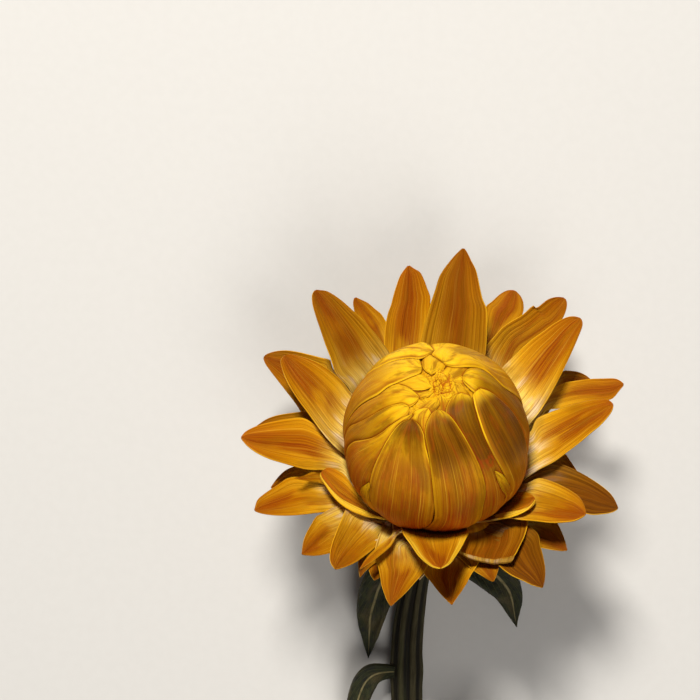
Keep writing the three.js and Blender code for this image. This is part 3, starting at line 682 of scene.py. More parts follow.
def ray_material():
    """Spreading bract: dark as painted shade where it is out of sight behind the dome, cream where it comes
    out, then gold to amber, with a red stain, fibres, bright rims, painted glints near its base and painted
    shade in its pleats
    """
    g = Graph("ray_paper")
    u, v = g.uv()
    seed = g.mark("chance") * 97.0
    off = abs(u - 0.5)
    broad, lines, hair = bract_fibres(g, u, v, seed)
    blotch = g.pattern(u * 3.0, v * 1.6, seed, roughness=0.6)
    shift = (blotch - 0.5) * 0.45 + (broad - 0.5) * 0.08
    # Dark brown up to where the bract comes out from behind the dome: painted shade in the gap beside the
    # dome. Then cream, gold and amber towards the tip.
    g.colour = g.stops(
        v + shift * g.ramp(v, 0.3, 0.5),
        (0.0, (0.10, 0.05, 0.01)),
        (0.21, (0.12, 0.06, 0.01)),
        (0.27, (0.94, 0.70, 0.16)),
        (0.36, (0.84, 0.54, 0.06)),
        (0.52, (0.72, 0.37, 0.010)),
        (0.68, (0.58, 0.25, 0.003)),
        (0.86, (0.48, 0.165, 0.002)),
        (1.0, (0.44, 0.115, 0.002)),
    )
    # Painted glints: pale cream spots near the base stand in for highlights
    pale = g.pattern(u * 6.0, v * 4.0, seed + 41.0)
    pale = g.ramp(v, 0.27, 0.5, 1.0, 0.0) * g.ramp(pale, 0.50, 0.66, 0.0, 0.9)
    g.paint(pale, (0.92, 0.76, 0.46))
    # Red stain down the middle
    patch = g.pattern(u * 2.4, v * 2.4, seed + 11.0) + (lines - 0.5) * 0.35
    band = g.ramp(off + (broad - 0.5) * 0.3, 0.10, 0.36, 1.0, 0.0)
    reach = g.ramp(v, 0.30, 0.52) * g.ramp(v, 0.90, 1.0, 1.0, 0.5)
    stain = band * reach * g.ramp(patch, 0.38, 0.54, 0.25, 1.0)
    g.paint(stain * 0.7, (0.38, 0.085, 0.002))
    g.paint(stain * g.ramp(lines, 0.46, 0.56) * 0.85, (0.24, 0.030, 0.002))
    # Dark and light fibres
    g.paint(g.ramp(lines, 0.34, 0.50, 0.55, 0.0), (0.27, 0.085, 0.003))
    g.paint(g.ramp(lines, 0.54, 0.68) * 0.38, (0.90, 0.54, 0.04))
    g.paint(g.ramp(hair, 0.35, 0.7, 0.0, 0.50), (0.48, 0.22, 0.03), "MULTIPLY")
    olive = g.pattern(u * 2.6, v * 3.0, seed + 23.0, roughness=0.6)
    g.paint(g.ramp(olive, 0.50, 0.68, 0.0, 0.32), (0.27, 0.115, 0.003))
    brown = g.mix(g.ramp(lines, 0.4, 0.6), (0.08, 0.02, 0.001), (0.19, 0.060, 0.002))
    g.paint(g.mark("age") * 0.9, brown)
    # Painted shade in the valleys of the pleats and in the furrows of rolled edges
    g.paint(g.mark("crease") * 0.3, (0.22, 0.05, 0.002))
    g.paint(g.mark("back") * 0.5, (0.34, 0.15, 0.008))
    light_margin = g.mix(g.ramp(lines, 0.35, 0.6), (0.66, 0.36, 0.008), (0.88, 0.58, 0.045))
    g.paint(g.mark("bright") * 0.85, light_margin)
    rim = g.ramp(off, 0.470, 0.492) * g.ramp(v, 0.35, 0.55)
    g.paint(rim * g.ramp(blotch, 0.42, 0.60, 0.1, 0.7), (0.86, 0.46, 0.015))
    return paper_surface(g, lines, hair, 0.00020)


def dome_material():
    """Closed bract: yellow at the top, tan and orange with red streaks below, bronze just under its tip"""
    g = Graph("dome_paper")
    u, v = g.uv()
    seed = g.mark("chance") * 97.0
    off = abs(u - 0.5)
    broad, lines, hair = bract_fibres(g, u, v, seed)
    blotch = g.pattern(u * 3.0, v * 2.6, seed, detail=3.0, roughness=0.6)
    shift = (blotch - 0.5) * 0.45 + (broad - 0.5) * 0.16
    g.colour = g.stops(
        v + shift,
        (0.0, (0.36, 0.10, 0.002)),
        (0.30, (0.51, 0.18, 0.002)),
        (0.55, (0.52, 0.23, 0.002)),
        (0.78, (0.64, 0.34, 0.003)),
        (1.0, (0.84, 0.50, 0.010)),
    )
    # Painted light: brighter yellow on the side of the dome towards the back and top, where the key light
    # falls, and a painted highlight on the knot's raised crumples
    g.paint(g.mark("bright") * 0.9, (0.95, 0.58, 0.020))
    # The lower part of the foremost bracts: tan patches and red streaks between golden margins
    low = g.mark("age")
    patch = g.pattern(u * 2.2, v * 2.6, seed + 7.0, detail=4.0, roughness=0.65)
    tan = g.mix(g.ramp(v, 0.5, 0.75), (0.44, 0.125, 0.006), (0.29, 0.085, 0.009))
    g.paint(low * g.ramp(patch, 0.40, 0.54, 0.35, 1.0), tan)
    streaks = g.ramp(lines, 0.46, 0.56) * g.ramp(blotch, 0.42, 0.54, 0.1, 1.0)
    g.paint(low * streaks * 0.9, (0.25, 0.030, 0.003))
    g.paint(low * g.ramp(off, 0.27, 0.42, 0.0, 0.75), (0.64, 0.32, 0.004))
    low_red = g.ramp(v, 0.28, 0.60, 0.85, 0.0) * g.ramp(lines, 0.44, 0.56)
    g.paint(low_red * g.ramp(off, 0.20, 0.40, 1.0, 0.25), (0.30, 0.038, 0.002))
    bronze = g.pattern(u * 3.2, v * 4.4, seed + 31.0, detail=4.0, roughness=0.6)
    bronze = g.ramp(bronze, 0.47, 0.62, 0.0, 0.75) * g.ramp(v, 0.4, 0.7, 0.5, 1.0)
    g.paint(bronze, (0.25, 0.10, 0.002))
    # Dark and light fibres, fainter near the tip
    lined = g.ramp(v, 0.5, 0.85, 1.0, 0.35)
    g.paint(lined * g.ramp(lines, 0.34, 0.52, 0.55, 0.0), (0.22, 0.080, 0.002))
    g.paint(lined * g.ramp(lines, 0.54, 0.68, 0.0, 0.45), (0.86, 0.54, 0.03))
    g.paint(lined * g.ramp(hair, 0.35, 0.7, 0.0, 0.40), (0.52, 0.27, 0.03), "MULTIPLY")
    shade = g.ramp(g.mark("shade"), 0.0, 0.9) * g.ramp(blotch, 0.36, 0.60, 1.0, 0.9)
    g.paint(shade, g.mix(g.ramp(lines, 0.4, 0.6), (0.10, 0.031, 0.0004), (0.17, 0.057, 0.0006)))
    # Painted shade in the valleys of folds, wrinkles and the knot's creases, and beside the edges of bracts
    # that lie over them; the cracks' red is their own colour
    g.paint(g.mark("crease") * 0.85, (0.30, 0.045, 0.002))
    g.paint(g.mark("back") * 0.5, (0.30, 0.10, 0.006))
    # A dark line of painted shade inside a thin bright rim
    edge_shade = g.ramp(off, 0.38, 0.44) * g.ramp(off, 0.448, 0.466, 1.0, 0.0)
    g.paint(edge_shade * g.ramp(patch, 0.4, 0.6, 0.2, 0.7), (0.30, 0.10, 0.002))
    rim = g.ramp(off, 0.458, 0.476) * g.ramp(blotch, 0.36, 0.58, 0.2, 0.9)
    g.paint(rim * g.ramp(v, 0.45, 0.8, 0.2, 1.0), (0.78, 0.46, 0.010))
    return paper_surface(g, lines, hair, 0.00011)


def scale_material():
    """Dry straw-brown scale with a glossy papery margin"""
    g = Graph("straw_scale")
    u, v = g.uv()
    seed = g.mark("chance") * 53.0
    fibre = g.pattern(u * 30.0, v * 2.0, seed, detail=3.0)
    g.colour = g.stops(
        v,
        (0.0, (0.20, 0.13, 0.04)),
        (0.5, (0.42, 0.25, 0.06)),
        (1.0, (0.36, 0.15, 0.03)),
    )
    g.paint(g.ramp(fibre, 0.35, 0.7, 0.0, 0.6), (0.24, 0.12, 0.03))
    g.paint(g.ramp(abs(u - 0.5), 0.36, 0.48, 0.0, 0.7), (0.70, 0.50, 0.22))
    return g.finish(Roughness=g.ramp(fibre, 0.3, 0.7, 0.4, 0.58), Normal=g.bump(fibre, 0.0001, 0.5))


def stem_material():
    """Dark olive-brown bark, paler on its ribs and near black in the furrows between them as painted shade,
    and straw-coloured pith where it is cut
    """
    g = Graph("dried_stem")
    u, v = g.uv()
    around = u * (2 * math.pi)
    ring = g.place(g.maths("COSINE", around), g.maths("SINE", around), v * 9.0)
    grain = g.noise(ring, scale=7.0, detail=5.0, roughness=0.62)
    broad = g.noise(ring, scale=1.6)
    rib = g.ramp(g.mark("crease"), 0.1, 0.9)
    # Painted shade: near black in the furrows between the ribs
    g.colour = g.mix(rib, (0.004, 0.003, 0.0015), (0.060, 0.050, 0.021))
    g.paint(g.ramp(grain, 0.35, 0.7, 0.0, 0.65), (0.018, 0.014, 0.006))
    g.paint(g.ramp(broad, 0.5, 0.75, 0.0, 0.5), (0.036, 0.042, 0.013))
    pith = g.mix(g.pattern(u, v, 3.0, scale=40.0, detail=3.0), (0.42, 0.33, 0.17), (0.62, 0.53, 0.32))
    g.paint(g.ramp(g.mark("age"), 0.5, 0.9), pith)
    roughness = g.ramp(grain, 0.3, 0.7, 0.62, 0.85)
    return g.finish(Roughness=roughness, Normal=g.bump(grain, 0.00022, 0.8), Specular_IOR_Level=0.2)


def leaf_material():
    """Dark olive dried leaf with a paler midrib, side veins and a crinkled surface"""
    g = Graph("dried_leaf")
    u, v = g.uv()
    seed = g.mark("chance") * 31.0
    off = abs(u - 0.5)
    vein = abs(g.maths("FRACT", v * 9.0 - off * 7.0) - 0.5)
    crinkle = g.pattern(u * 7.0, v * 22.0, seed, detail=5.0, roughness=0.65)
    broad = g.pattern(u * 2.0, v * 5.0, seed)
    g.colour = g.mix(g.ramp(crinkle, 0.3, 0.7), (0.006, 0.007, 0.003), (0.030, 0.034, 0.011))
    g.paint(g.ramp(broad, 0.45, 0.7, 0.0, 0.55), (0.085, 0.062, 0.022))
    g.paint(g.ramp(vein, 0.0, 0.09, 0.4, 0.0), (0.13, 0.12, 0.05))
    g.paint(g.mark("back") * 0.45, (0.075, 0.075, 0.036))
    g.paint(g.ramp(off, 0.018, 0.05, 0.85, 0.0), (0.22, 0.18, 0.08))
    g.paint(g.ramp(off, 0.45, 0.5, 0.0, 0.5), (0.10, 0.075, 0.03))
    relief = crinkle + g.ramp(vein, 0.0, 0.12, -0.35, 0.0)
    roughness = g.ramp(crinkle, 0.3, 0.7, 0.55, 0.8)
    return g.finish(Roughness=roughness, Normal=g.bump(relief, 0.0003, 0.8), Specular_IOR_Level=0.25)


def floor_material():
    g = Graph("pale_floor")
    grain = g.noise(g.node("TexCoord", {}, output="Object"), scale=900.0, detail=3.0)
    g.colour = g.mix(g.ramp(grain, 0.3, 0.7, 0.0, 0.12), (0.56, 0.55, 0.53), (0.49, 0.48, 0.46))
    return g.finish(Roughness=0.85)


# Between the photograph and the part

VIEW_SPREAD = SENSOR / LENS / PHOTO_SIZE
PHOTO_MIDDLE = PHOTO_SIZE / 2


def seen_at(points):
    """The photograph's pixels where points of the part show"""
    below = CAMERA_PLACE[2] - points[..., 2]
    x = (points[..., 0] - CAMERA_PLACE[0]) / below / VIEW_SPREAD
    y = (points[..., 1] - CAMERA_PLACE[1]) / below / VIEW_SPREAD
    return np.stack([PHOTO_MIDDLE + x, PHOTO_MIDDLE - y], -1)


def on_dome(azimuth, polar):
    a, p = math.radians(azimuth), math.radians(polar)
    return np.array([math.sin(p) * math.cos(a), math.sin(p) * math.sin(a), math.cos(p)])


def seen_on_dome(pixel):
    """The way from the dome's middle, in the head's own frame, to what the photograph shows at a pixel"""
    x, y = (pixel[0] - PHOTO_MIDDLE) * VIEW_SPREAD, (PHOTO_MIDDLE - pixel[1]) * VIEW_SPREAD
    look = unit(np.array([x, y, -1.0]))
    start = CAMERA_PLACE - DOME_PLACE
    near = look @ start
    inside = max(near ** 2 - start @ start + DOME_RADIUS ** 2, 0.0)
    x, y, z = unit(start + look * (-near - math.sqrt(inside)))
    c, s = math.cos(HEAD_TILT), math.sin(HEAD_TILT)
    return np.array([x, y * c - z * s, y * s + z * c])


# Spreading bracts

RAY_STATIONS = 54
RAY_ACROSS = 40
RAY_THICKNESS = 0.32
RAY_CUP = 0.08  # rise in millimetres for each square millimetre from the middle line
RAY_END = 0.99  # of the way to the tip, where the last ring closes it
RAY_HIDDEN = 0.27  # of a bract's colouring that is out of sight behind the dome
UNSEEN_PLACES = (0, 0.12)  # along the root, which no trace reaches
UNSEEN_WIDTH = 1.1  # of the bract's given width
TRACE_GAP = 0.04  # least way from an unseen place to the first traced one
# The relief of a bract's face, in millimetres
PLEAT = 0.13
FIBRE_RELIEF = 0.022
GROOVE = 0.10
TWIST = 0.12
RIM_RISE = 0.12
# A rolled edge takes in this share of half the bract, and a folded end starts at this share of the way along
ROLLED_SHARE = 0.6
ROLL_RISE = 0.30
ROLL_FURROW = 0.12
FOLDED_FROM = 0.972
FOLD_RISE = 0.16
FOLD_DROP = 0.1
FLOOR_CLEARANCE = 0.03
PRESSED_STEP = 0.1  # degrees


class Sheet:
    """The curved sheet that one spreading bract lies in: along it from 0 to 1 and across it in millimetres"""

    NEWTON_STEPS = 14
    LARGEST_STEP = np.array([0.3, 2.0])
    SMALL = 0.001

    def __init__(self, ray):
        layer = RAY_LAYERS[ray["layer"]]
        self.azimuth = math.radians(ray["azimuth"])
        self.sweep = math.radians(ray.get("sweep", 0))
        opening, start = math.radians(ray["opening"]), math.radians(layer["start"])
        self.root = np.array([ROOT_RADIUS, layer["height"]])
        self.tip = np.array([math.sin(opening), math.cos(opening)]) * ray["reach"]
        self.length = np.linalg.norm(self.tip - self.root)
        self.bend = self.root + np.array([math.sin(start), math.cos(start)]) * self.length * RAY_BEND

    def at(self, along, across):
        """Points in the head's own frame, with the ways out of the sheet's face"""
        points, slope = arched(along[..., None], self.root, self.bend, self.tip)
        centre, side, face = stood_up(self.azimuth + self.sweep * along ** 2, points, slope)
        return centre + side * across[..., None] + face * (RAY_CUP * across ** 2)[..., None], face

    def place_of(self, pixel):
        """Where on the sheet the photograph's pixel falls, by Newton's steps"""
        place = np.array([0.6, 0.0])
        for _ in range(self.NEWTON_STEPS):
            here = place + np.array([[0, 0], [self.SMALL, 0], [0, self.SMALL]])
            seen = seen_at(head_to_part(self.at(here[:, 0], here[:, 1])[0]))
            slopes = (seen[1:] - seen[0]).T / self.SMALL
            step = np.linalg.solve(slopes, np.array(pixel) - seen[0])
            place = place + np.clip(step, -self.LARGEST_STEP, self.LARGEST_STEP)
        return place


def ray_edges(ray, sheet):
    """Both edges of a spreading bract on its sheet, from its root to the tip, and where their traces begin"""
    edges, begins = [], []
    for name, sign in (("left", -1), ("right", 1)):
        half = sign * ray["width"] / 2
        unseen = []
        if name in ray:
            traced = [sheet.place_of(p) for p in ray[name] + ([ray["tip"]] if ray["tip"] else [])]
            unseen = [(t, UNSEEN_WIDTH * half) for t in UNSEEN_PLACES if t < traced[0][0] - TRACE_GAP]
            places = unseen + traced
        else:
            along = np.linspace(0, 1, 12)
            widths = blade_width(along, root_share=0.78, widest_at=0.5, pointed=2.3, tip_share=0.0) ** 0.7
            places = [(t, half * w) for t, w in zip(along, widths)]
        edge = Curve([(t * sheet.length, w) for t, w in places])
        edges.append(edge)
        begins.append(edge.length[len(unseen) * Curve.SAMPLES] / edge.length[-1])
    return edges, np.mean(begins)


def ray_blade(ray, stations=RAY_STATIONS, across=RAY_ACROSS):
    """Rings of points of one spreading bract, with the marks for its material"""
    rng = np.random.default_rng(1000 + int(ray["azimuth"] * 10) + ray["layer"])
    sheet = Sheet(ray)
    (left, right), begin = ray_edges(ray, sheet)
    is_traced = "tip" in ray
    is_folded = is_traced and ray["tip"] is None
    s = (1.0 if is_folded else RAY_END) * (1 - (1 - np.linspace(0, 1, stations + 1)) ** 1.4)
    u, facing = section(across)
    places = between(left.at(s), right.at(s), u)
    points, face = sheet.at(places[..., 0] / sheet.length, places[..., 1])
    half = np.linalg.norm(right.at(s) - left.at(s), axis=1)[:, None] / 2
    uu, ss = u[None, :], s[:, None]
    narrow = np.minimum(half / 2.0, 1)
    started = smooth(ss, 0.15, 0.4)
    pleat = ripple(rng, uu, ss * 0.1, waves=5, rate=4.0)
    fine = ripple(rng, uu, ss * 0.04, waves=7, rate=30.0)
    lift = (PLEAT * pleat + FIBRE_RELIEF * fine) * started * narrow
    lift = lift - GROOVE * bell(uu, rng.normal(0, 0.08), 0.12) * smooth(ss, 0.2, 0.5) * narrow
    lift = lift + TWIST * ripple(rng, ss, waves=3, rate=6) * uu * narrow
    lift = lift + RIM_RISE * smooth(np.abs(uu), 0.86, 1.0) * smooth(ss, 0.25, 0.5) * narrow
    bright = 0.0
    # The crease mark is painted shade in the valleys of the pleats and fibres
    crease = np.clip(-0.6 * pleat - 0.4 * fine - 0.5, 0, 1) * started * 0.6
    if "margin" in ray:
        bright = smooth(np.abs(uu), 0.93 - ray["margin"], 1.0 - ray["margin"]) * smooth(ss, 0.3, 0.5)
    if "rolled" in ray:
        towards = uu if ray["rolled"] == "right" else -uu
        begins = 1 - ROLLED_SHARE * np.sin(math.pi * ss ** 1.1) ** 0.7
        over = np.clip((towards - begins) / (1.001 - begins), 0, 1)
        bright = smooth(over, 0, 0.15)
        rounded = np.sqrt(1 - (2 * over - 1) ** 2) * (1 - begins) / ROLLED_SHARE
        lift = lift + ROLL_RISE * rounded * narrow - ROLL_FURROW * bell(towards, begins, 0.10)
        # and painted shade in the furrow where the edge rolls over
        crease = np.maximum(crease, bell(towards, begins - 0.04, 0.09))
    v = np.interp(ss, [0, begin, 1], [0, ray.get("hidden", RAY_HIDDEN), 1]) if is_traced else ss
    if is_folded:
        folded = smooth(ss, FOLDED_FROM - 0.004, FOLDED_FROM + 0.004)
        lift = lift + FOLD_RISE * bell(ss, FOLDED_FROM, 0.008) - FOLD_DROP * folded
        v = v + (0.3 - v) * folded
    thickness = RAY_THICKNESS * (1 + 0.6 * (1 - smooth(ss, 0.1, 0.5)))
    thickness = thickness * (0.2 + 0.8 * np.sqrt(1 - uu ** 8)) * (0.4 + 0.6 * narrow)
    loops = points + face * (lift + facing[None, :] * thickness / 2)[..., None]
    back = (1 - facing) / 2
    return dict(loops=head_to_part(loops), u=(u + 1) / 2, v=v, back=back, crease=crease, bright=bright)


def pressed_up(ray):
    """A bract that would reach under the surface is pressed forward until its tip lies on it"""
    while "tip" not in ray and ray_blade(ray, 16, 8)["loops"][..., 2].min() < FLOOR_CLEARANCE:
        ray = {**ray, "opening": ray["opening"] - PRESSED_STEP}
    return ray


def make_rays(material):
    rng = np.random.default_rng(5)
    for number, layer in enumerate(RAY_LAYERS):
        sheaf = Sheaf()
        for ray in RAYS:
            if ray["layer"] == number:
                age = ray.get("age", np.clip(layer["age"] + rng.normal(0, 0.15), 0, 1))
                sheaf.add(**ray_blade(pressed_up(ray)), chance=rng.random(), age=age)
        piece = sheaf.piece(layer["name"], material)
        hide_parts("spreading_bracts")


def turned_form(profile, v_end=1.0):
    """The rings of a turned form from (radius, height) points, from its underside up"""
    profile = np.array(profile)
    around = np.linspace(0, 2 * math.pi, TURNED_SIDES, endpoint=False)
    loops = np.zeros((len(profile), TURNED_SIDES, 3))
    loops[..., :2] = np.stack([np.cos(around), np.sin(around)], -1)[None] * profile[:, None, :1]
    loops[..., 2] = profile[:, 1:]
    v = np.linspace(0, v_end, len(profile))[:, None]
    return dict(loops=head_to_part(loops), u=around / (2 * math.pi), v=v)


def make_disc(material):
    """The fleshy disc that carries the bracts"""
    sheaf = Sheaf()
    sheaf.add(chance=0.3, **turned_form([
        (AXIS_GAP, DISC_BOTTOM),
        (DISC_RADIUS - DISC_RIM, DISC_BOTTOM),
        (DISC_RADIUS - DISC_BEVEL, DISC_BOTTOM + DISC_BEVEL),
        (DISC_RADIUS, DISC_BOTTOM + DISC_RIM),
        (DISC_RADIUS, DISC_TOP - DISC_RIM),
        (DISC_RADIUS - DISC_BEVEL, DISC_TOP - DISC_BEVEL),
        (DISC_RADIUS - DISC_RIM, DISC_TOP),
        (AXIS_GAP, DISC_TOP),
    ]))
    piece = sheaf.piece("bract_disc", material)
    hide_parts("spreading_bracts")


# Closed bracts of the dome

PLATE_STATIONS = 66
PLATE_ACROSS = 52
PLATE_THICKNESS = 0.34
PLATE_END = 0.985  # of the way to the tip
PLATE_SEAT = 0.18  # of its edges under the dome's surface, besides their sink
PILLOW = 0.36  # rise of its middle above its edges
FOLD_RELIEF = 0.09
FINE_RELIEF = 0.012
WRINKLE_DEPTH = 0.06
TUCK = 0.8  # of the sinks given for the bracts
EDGE_SAMPLES = 6  # to a station
STEPS_BACK = 6  # stations down the middle line, where the way from an edge back into its bract leads
LAP_DROP = 0.13  # of a bract below the edge of the one that lies over it
LAP_RISE = 0.42  # away from that edge, for the square root of a millimetre
CREASE_REACH = 0.15


def dome_radius(ways):
    """Dimpled at the top, and swelling a little where it bulges over the lower bracts"""
    polar = np.arccos(np.clip(ways[..., 2], -1, 1))
    azimuth = np.arctan2(ways[..., 1], ways[..., 0])
    low = smooth(polar, math.radians(35), math.radians(80)) * smooth(-np.sin(azimuth), 0.0, 0.6)
    swelling = DOME_SWELLING * low * (1 - np.cos(4 * azimuth)) / 2
    return DOME_RADIUS + swelling - DIMPLE_DEPTH * bell(polar, 0, DIMPLE_SPREAD)


def dome_points(ways, distance):
    """Points of the part, from ways out of the dome's middle and the distances along them"""
    return head_to_part(ways * distance[..., None] + DOME_CENTRE * UP)


def plate(bract, rng):
    """The face of one bract of the dome: ways from the dome's middle, heights along them and marks"""
    edges = []
    for side, name in enumerate(("left", "right")):
        places = [seen_on_dome(p) for p in [*bract[name], bract["tip"]]]
        if "roots" in bract:
            places.insert(0, on_dome(bract["roots"][side], CLOSED_ROOT))
        edges.append(Curve(places))
    s = 1 - (1 - np.linspace(0, PLATE_END, PLATE_STATIONS + 1)) ** 1.25
    left, right = [unit(edge.at(s)) for edge in edges]
    u = section(PLATE_ACROSS)[0][:PLATE_ACROSS + 1]
    ways = unit(between(left, right, u))
    half = np.linalg.norm(right - left, axis=1)[:, None] * DOME_RADIUS / 2
    uu, ss = u[None, :], s[:, None]
    near_tip = smooth(ss, 0.5, 1.0)
    narrow = np.minimum(half / 2.2, 1)
    depth = bract.get("depth", 0.0)
    raised = depth - INNER_RISE
    root_left, root_right, tip_left, tip_right = bract.get("sink", (depth, depth, raised, raised))
    sink_left = root_left + (tip_left - root_left) * near_tip
    sink_right = root_right + (tip_right - root_right) * near_tip
    sink = TUCK * (sink_left + (sink_right - sink_left) * smooth(uu, -1, 1))
    pillow = PILLOW * (1 - uu ** 2) ** 0.75 * np.minimum(half / 1.6, 1)
    folds = ripple(rng, uu, ss * 0.6, waves=5, rate=5.5)
    fine = ripple(rng, uu, ss * 0.15, waves=7, rate=18.0)
    wrinkles = 1 - 2.2 * np.abs(ripple(rng, uu * 0.6, ss * 2.2, waves=5, rate=7.0))
    wrinkles = np.clip(wrinkles, 0, 1) ** 3 * smooth(ss, 0.4, 0.9)
    relief = FOLD_RELIEF * folds + FINE_RELIEF * fine - WRINKLE_DEPTH * wrinkles
    relief = relief * (0.5 + 0.5 * near_tip) * narrow
    bronzed, bronze_from, bronze_to = bract.get("shade", (0.0, 0.5, 1.0))
    shade = bronzed * smooth(ss, bronze_from - 0.13, bronze_from + 0.11) * (0.92 + 0.08 * folds)
    towards_back = ways[..., 1] - 0.4 * ways[..., 0]
    return dict(
        u=u,
        v=ss if "roots" in bract else 0.7 + 0.3 * ss,
        ways=ways,
        outer=dome_radius(ways) - sink - PLATE_SEAT + pillow + relief,
        thickness=PLATE_THICKNESS * (0.5 + 0.5 * np.sqrt(1 - uu ** 6)) * (1 - 0.2 * ss),
        # The crease mark is painted shade in the valleys of the folds and the grooves of the wrinkles
        crease=np.clip(np.clip(-0.6 * folds - 0.4 * fine - 0.3, 0, 1) + 0.5 * wrinkles, 0, 1),
        shade=shade * (1 - smooth(ss, bronze_to - 0.09, bronze_to + 0.07)) * (1 - 0.6 * uu ** 6),
        age=bract.get("streaks", 0.2) * (1 - smooth(ss, 0.55, 0.9)),
        # Painted light: brighter on the side of the dome towards the back and the top, which faces the key
        # light
        bright=smooth(towards_back, -0.1, 0.9) * smooth(ways[..., 2], -0.1, 0.6),
    )


def close_samples(values):
    """Values at the stations, filled in between them"""
    stations = np.arange(len(values))
    fine = np.linspace(0, stations[-1], EDGE_SAMPLES * stations[-1])
    return np.stack([np.interp(fine, stations, column) for column in values.T], -1)


def free_edges(form):
    """Both edges of a bract: the ways to them, their heights, and the ways back into the bract"""
    stations, across = form["ways"].shape[:2]
    middle = form["ways"][np.maximum(np.arange(stations) - STEPS_BACK, 0), across // 2]
    edges = []
    for column in (0, -1):
        ways = close_samples(form["ways"][:, column])
        heights = close_samples(form["outer"][:, [column]])[:, 0]
        edges.append((ways, heights, close_samples(middle) - ways))
    return [np.concatenate(parts) for parts in zip(*edges)]


def lie_under(form, covers):
    """A bract goes in under those that cover it, and dips into a crease beside their free edges"""
    shape = form["outer"].shape
    places = form["ways"].reshape(-1, 3)
    outer = form["outer"].reshape(-1)
    beside = np.zeros(len(places))
    for ways, heights, inward in covers:
        near = (places @ ways.T).argmax(1)
        gap = places - ways[near]
        is_covered = (gap * inward[near]).sum(1) > 0
        apart = np.linalg.norm(gap, axis=1) * DOME_RADIUS
        rise = np.where(is_covered, 0, LAP_RISE * np.sqrt(apart))
        outer = np.minimum(outer, heights[near] - LAP_DROP + rise)
        beside = np.maximum(beside, bell(apart, 0, CREASE_REACH))
    form["outer"] = outer.reshape(shape)
    # Painted shade: the crease mark darkens the bract beside the free edges that lie over it
    form["crease"] = np.maximum(form["crease"], 0.9 * beside.reshape(shape))


def crack(form):
    """Thin red cracks, each a narrow furrow"""
    for trace in CRACKS:
        line = unit(Curve([seen_on_dome(p) for p in trace]).at(np.linspace(0, 1, 60)))
        apart = DOME_RADIUS * np.sqrt(np.maximum(2 - 2 * (form["ways"] @ line.T).max(-1), 0))
        furrow = bell(apart, 0, CRACK_WIDTH)
        form["outer"] = form["outer"] - CRACK_DEPTH * furrow
        form["crease"] = np.maximum(form["crease"], 1.1 * furrow)


def plate_rings(form):
    """Rings of points round a bract of the dome, with the marks for its material"""
    shape = form["outer"].shape

    def all_round(face, underside):
        return np.concatenate([face, underside[:, -2:0:-1]], 1)

    marks = {}
    for name in ("u", "v", "crease", "shade", "age", "bright"):
        mark = np.broadcast_to(form[name], shape)
        marks[name] = all_round(mark, mark)
    marks["u"] = (marks["u"] + 1) / 2
    marks["back"] = all_round(np.zeros(shape), np.ones(shape))
    distance = all_round(form["outer"], form["outer"] - form["thickness"])
    return dict(loops=dome_points(all_round(form["ways"], form["ways"]), distance), **marks)


def knot(rng):
    """The crumpled middle where the innermost tips are crushed together, a cap creased finer and finer"""
    rings, sides = 130, 220
    polar = np.linspace(math.radians(KNOT_REACH), 0.002, rings)[:, None]
    around = np.linspace(0, 2 * math.pi, sides, endpoint=False)[None, :]
    places = [np.sin(polar) * np.cos(around), np.sin(polar) * np.sin(around), np.cos(polar) + 0 * around]
    ways = np.stack(places, -1)
    shaken = [x + 0.025 * ripple(rng, *places, waves=5, rate=22) for x in places]
    height = 0
    crease = 0
    for rate, amount in KNOT_CREASES:
        wave = np.abs(ripple(rng, *shaken, waves=6, rate=rate))
        height = height + amount * np.minimum(wave, 0.8)
        # The crease mark is painted shade in the valleys between the crumples
        crease = np.maximum(crease, bell(wave, 0, KNOT_CREASE_WIDTH))
    outside = smooth(polar * (1 + 0.3 * ripple(rng, *shaken[:2], waves=4, rate=16)), *KNOT_EDGE)
    top = KNOT_TOP + (KNOT_DEPTH - KNOT_TOP) * outside
    u = 0.5 + 0.3 * ripple(rng, *shaken, waves=4, rate=14)
    return dict(
        loops=dome_points(ways, dome_radius(ways) - top + height * (1 - 0.5 * outside)),
        u=u,
        # Painted highlight: the raised crumples near the middle are painted lighter, up to pale cream
        v=0.85 + 0.1 * height + 0 * polar,
        crease=crease * (1 - 0.6 * outside),
        bright=0.5 * (1 - outside) * np.clip(height * 3.0 - 0.5, 0, 1),
        chance=rng.random(),
    )


def make_dome(material):
    rng = np.random.default_rng(21)
    inner = sorted(INNER, key=lambda bract: bract["depth"])
    covers = []
    for name, bracts in {"dome_bracts_outer": CLOSED, "dome_bracts_inner": inner}.items():
        sheaf = Sheaf()
        for bract in bracts:
            form = plate(bract, rng)
            lie_under(form, covers)
            covers.append(free_edges(form))
            crack(form)
            sheaf.add(**plate_rings(form), chance=rng.random())
        if bracts is inner:
            sheaf.add(**knot(rng))
        close_dome(sheaf, name, material)
    core = Sheaf()
    polar = np.linspace(0.01, math.radians(CLOSED_ROOT), 48)[::-1]
    ways = np.stack([np.sin(polar), 0 * polar, np.cos(polar)], -1)
    radius = dome_radius(ways) - CORE_DEPTH - CORE_DIP * (1 - smooth(polar, *CORE_DIP_EDGE))
    profile = np.stack([radius * np.sin(polar), DOME_CENTRE + radius * np.cos(polar)], -1)
    # The core is painted half way to the crease colour: painted shade in the gaps between the bracts
    core.add(chance=0.6, crease=0.5, **turned_form(profile))
    close_dome(core, "dome_core", material)


def close_dome(sheaf, name, material):
    piece = sheaf.piece(name, material)
    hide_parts("closed_bracts")


# Involucre: the cup behind the disc and its scales

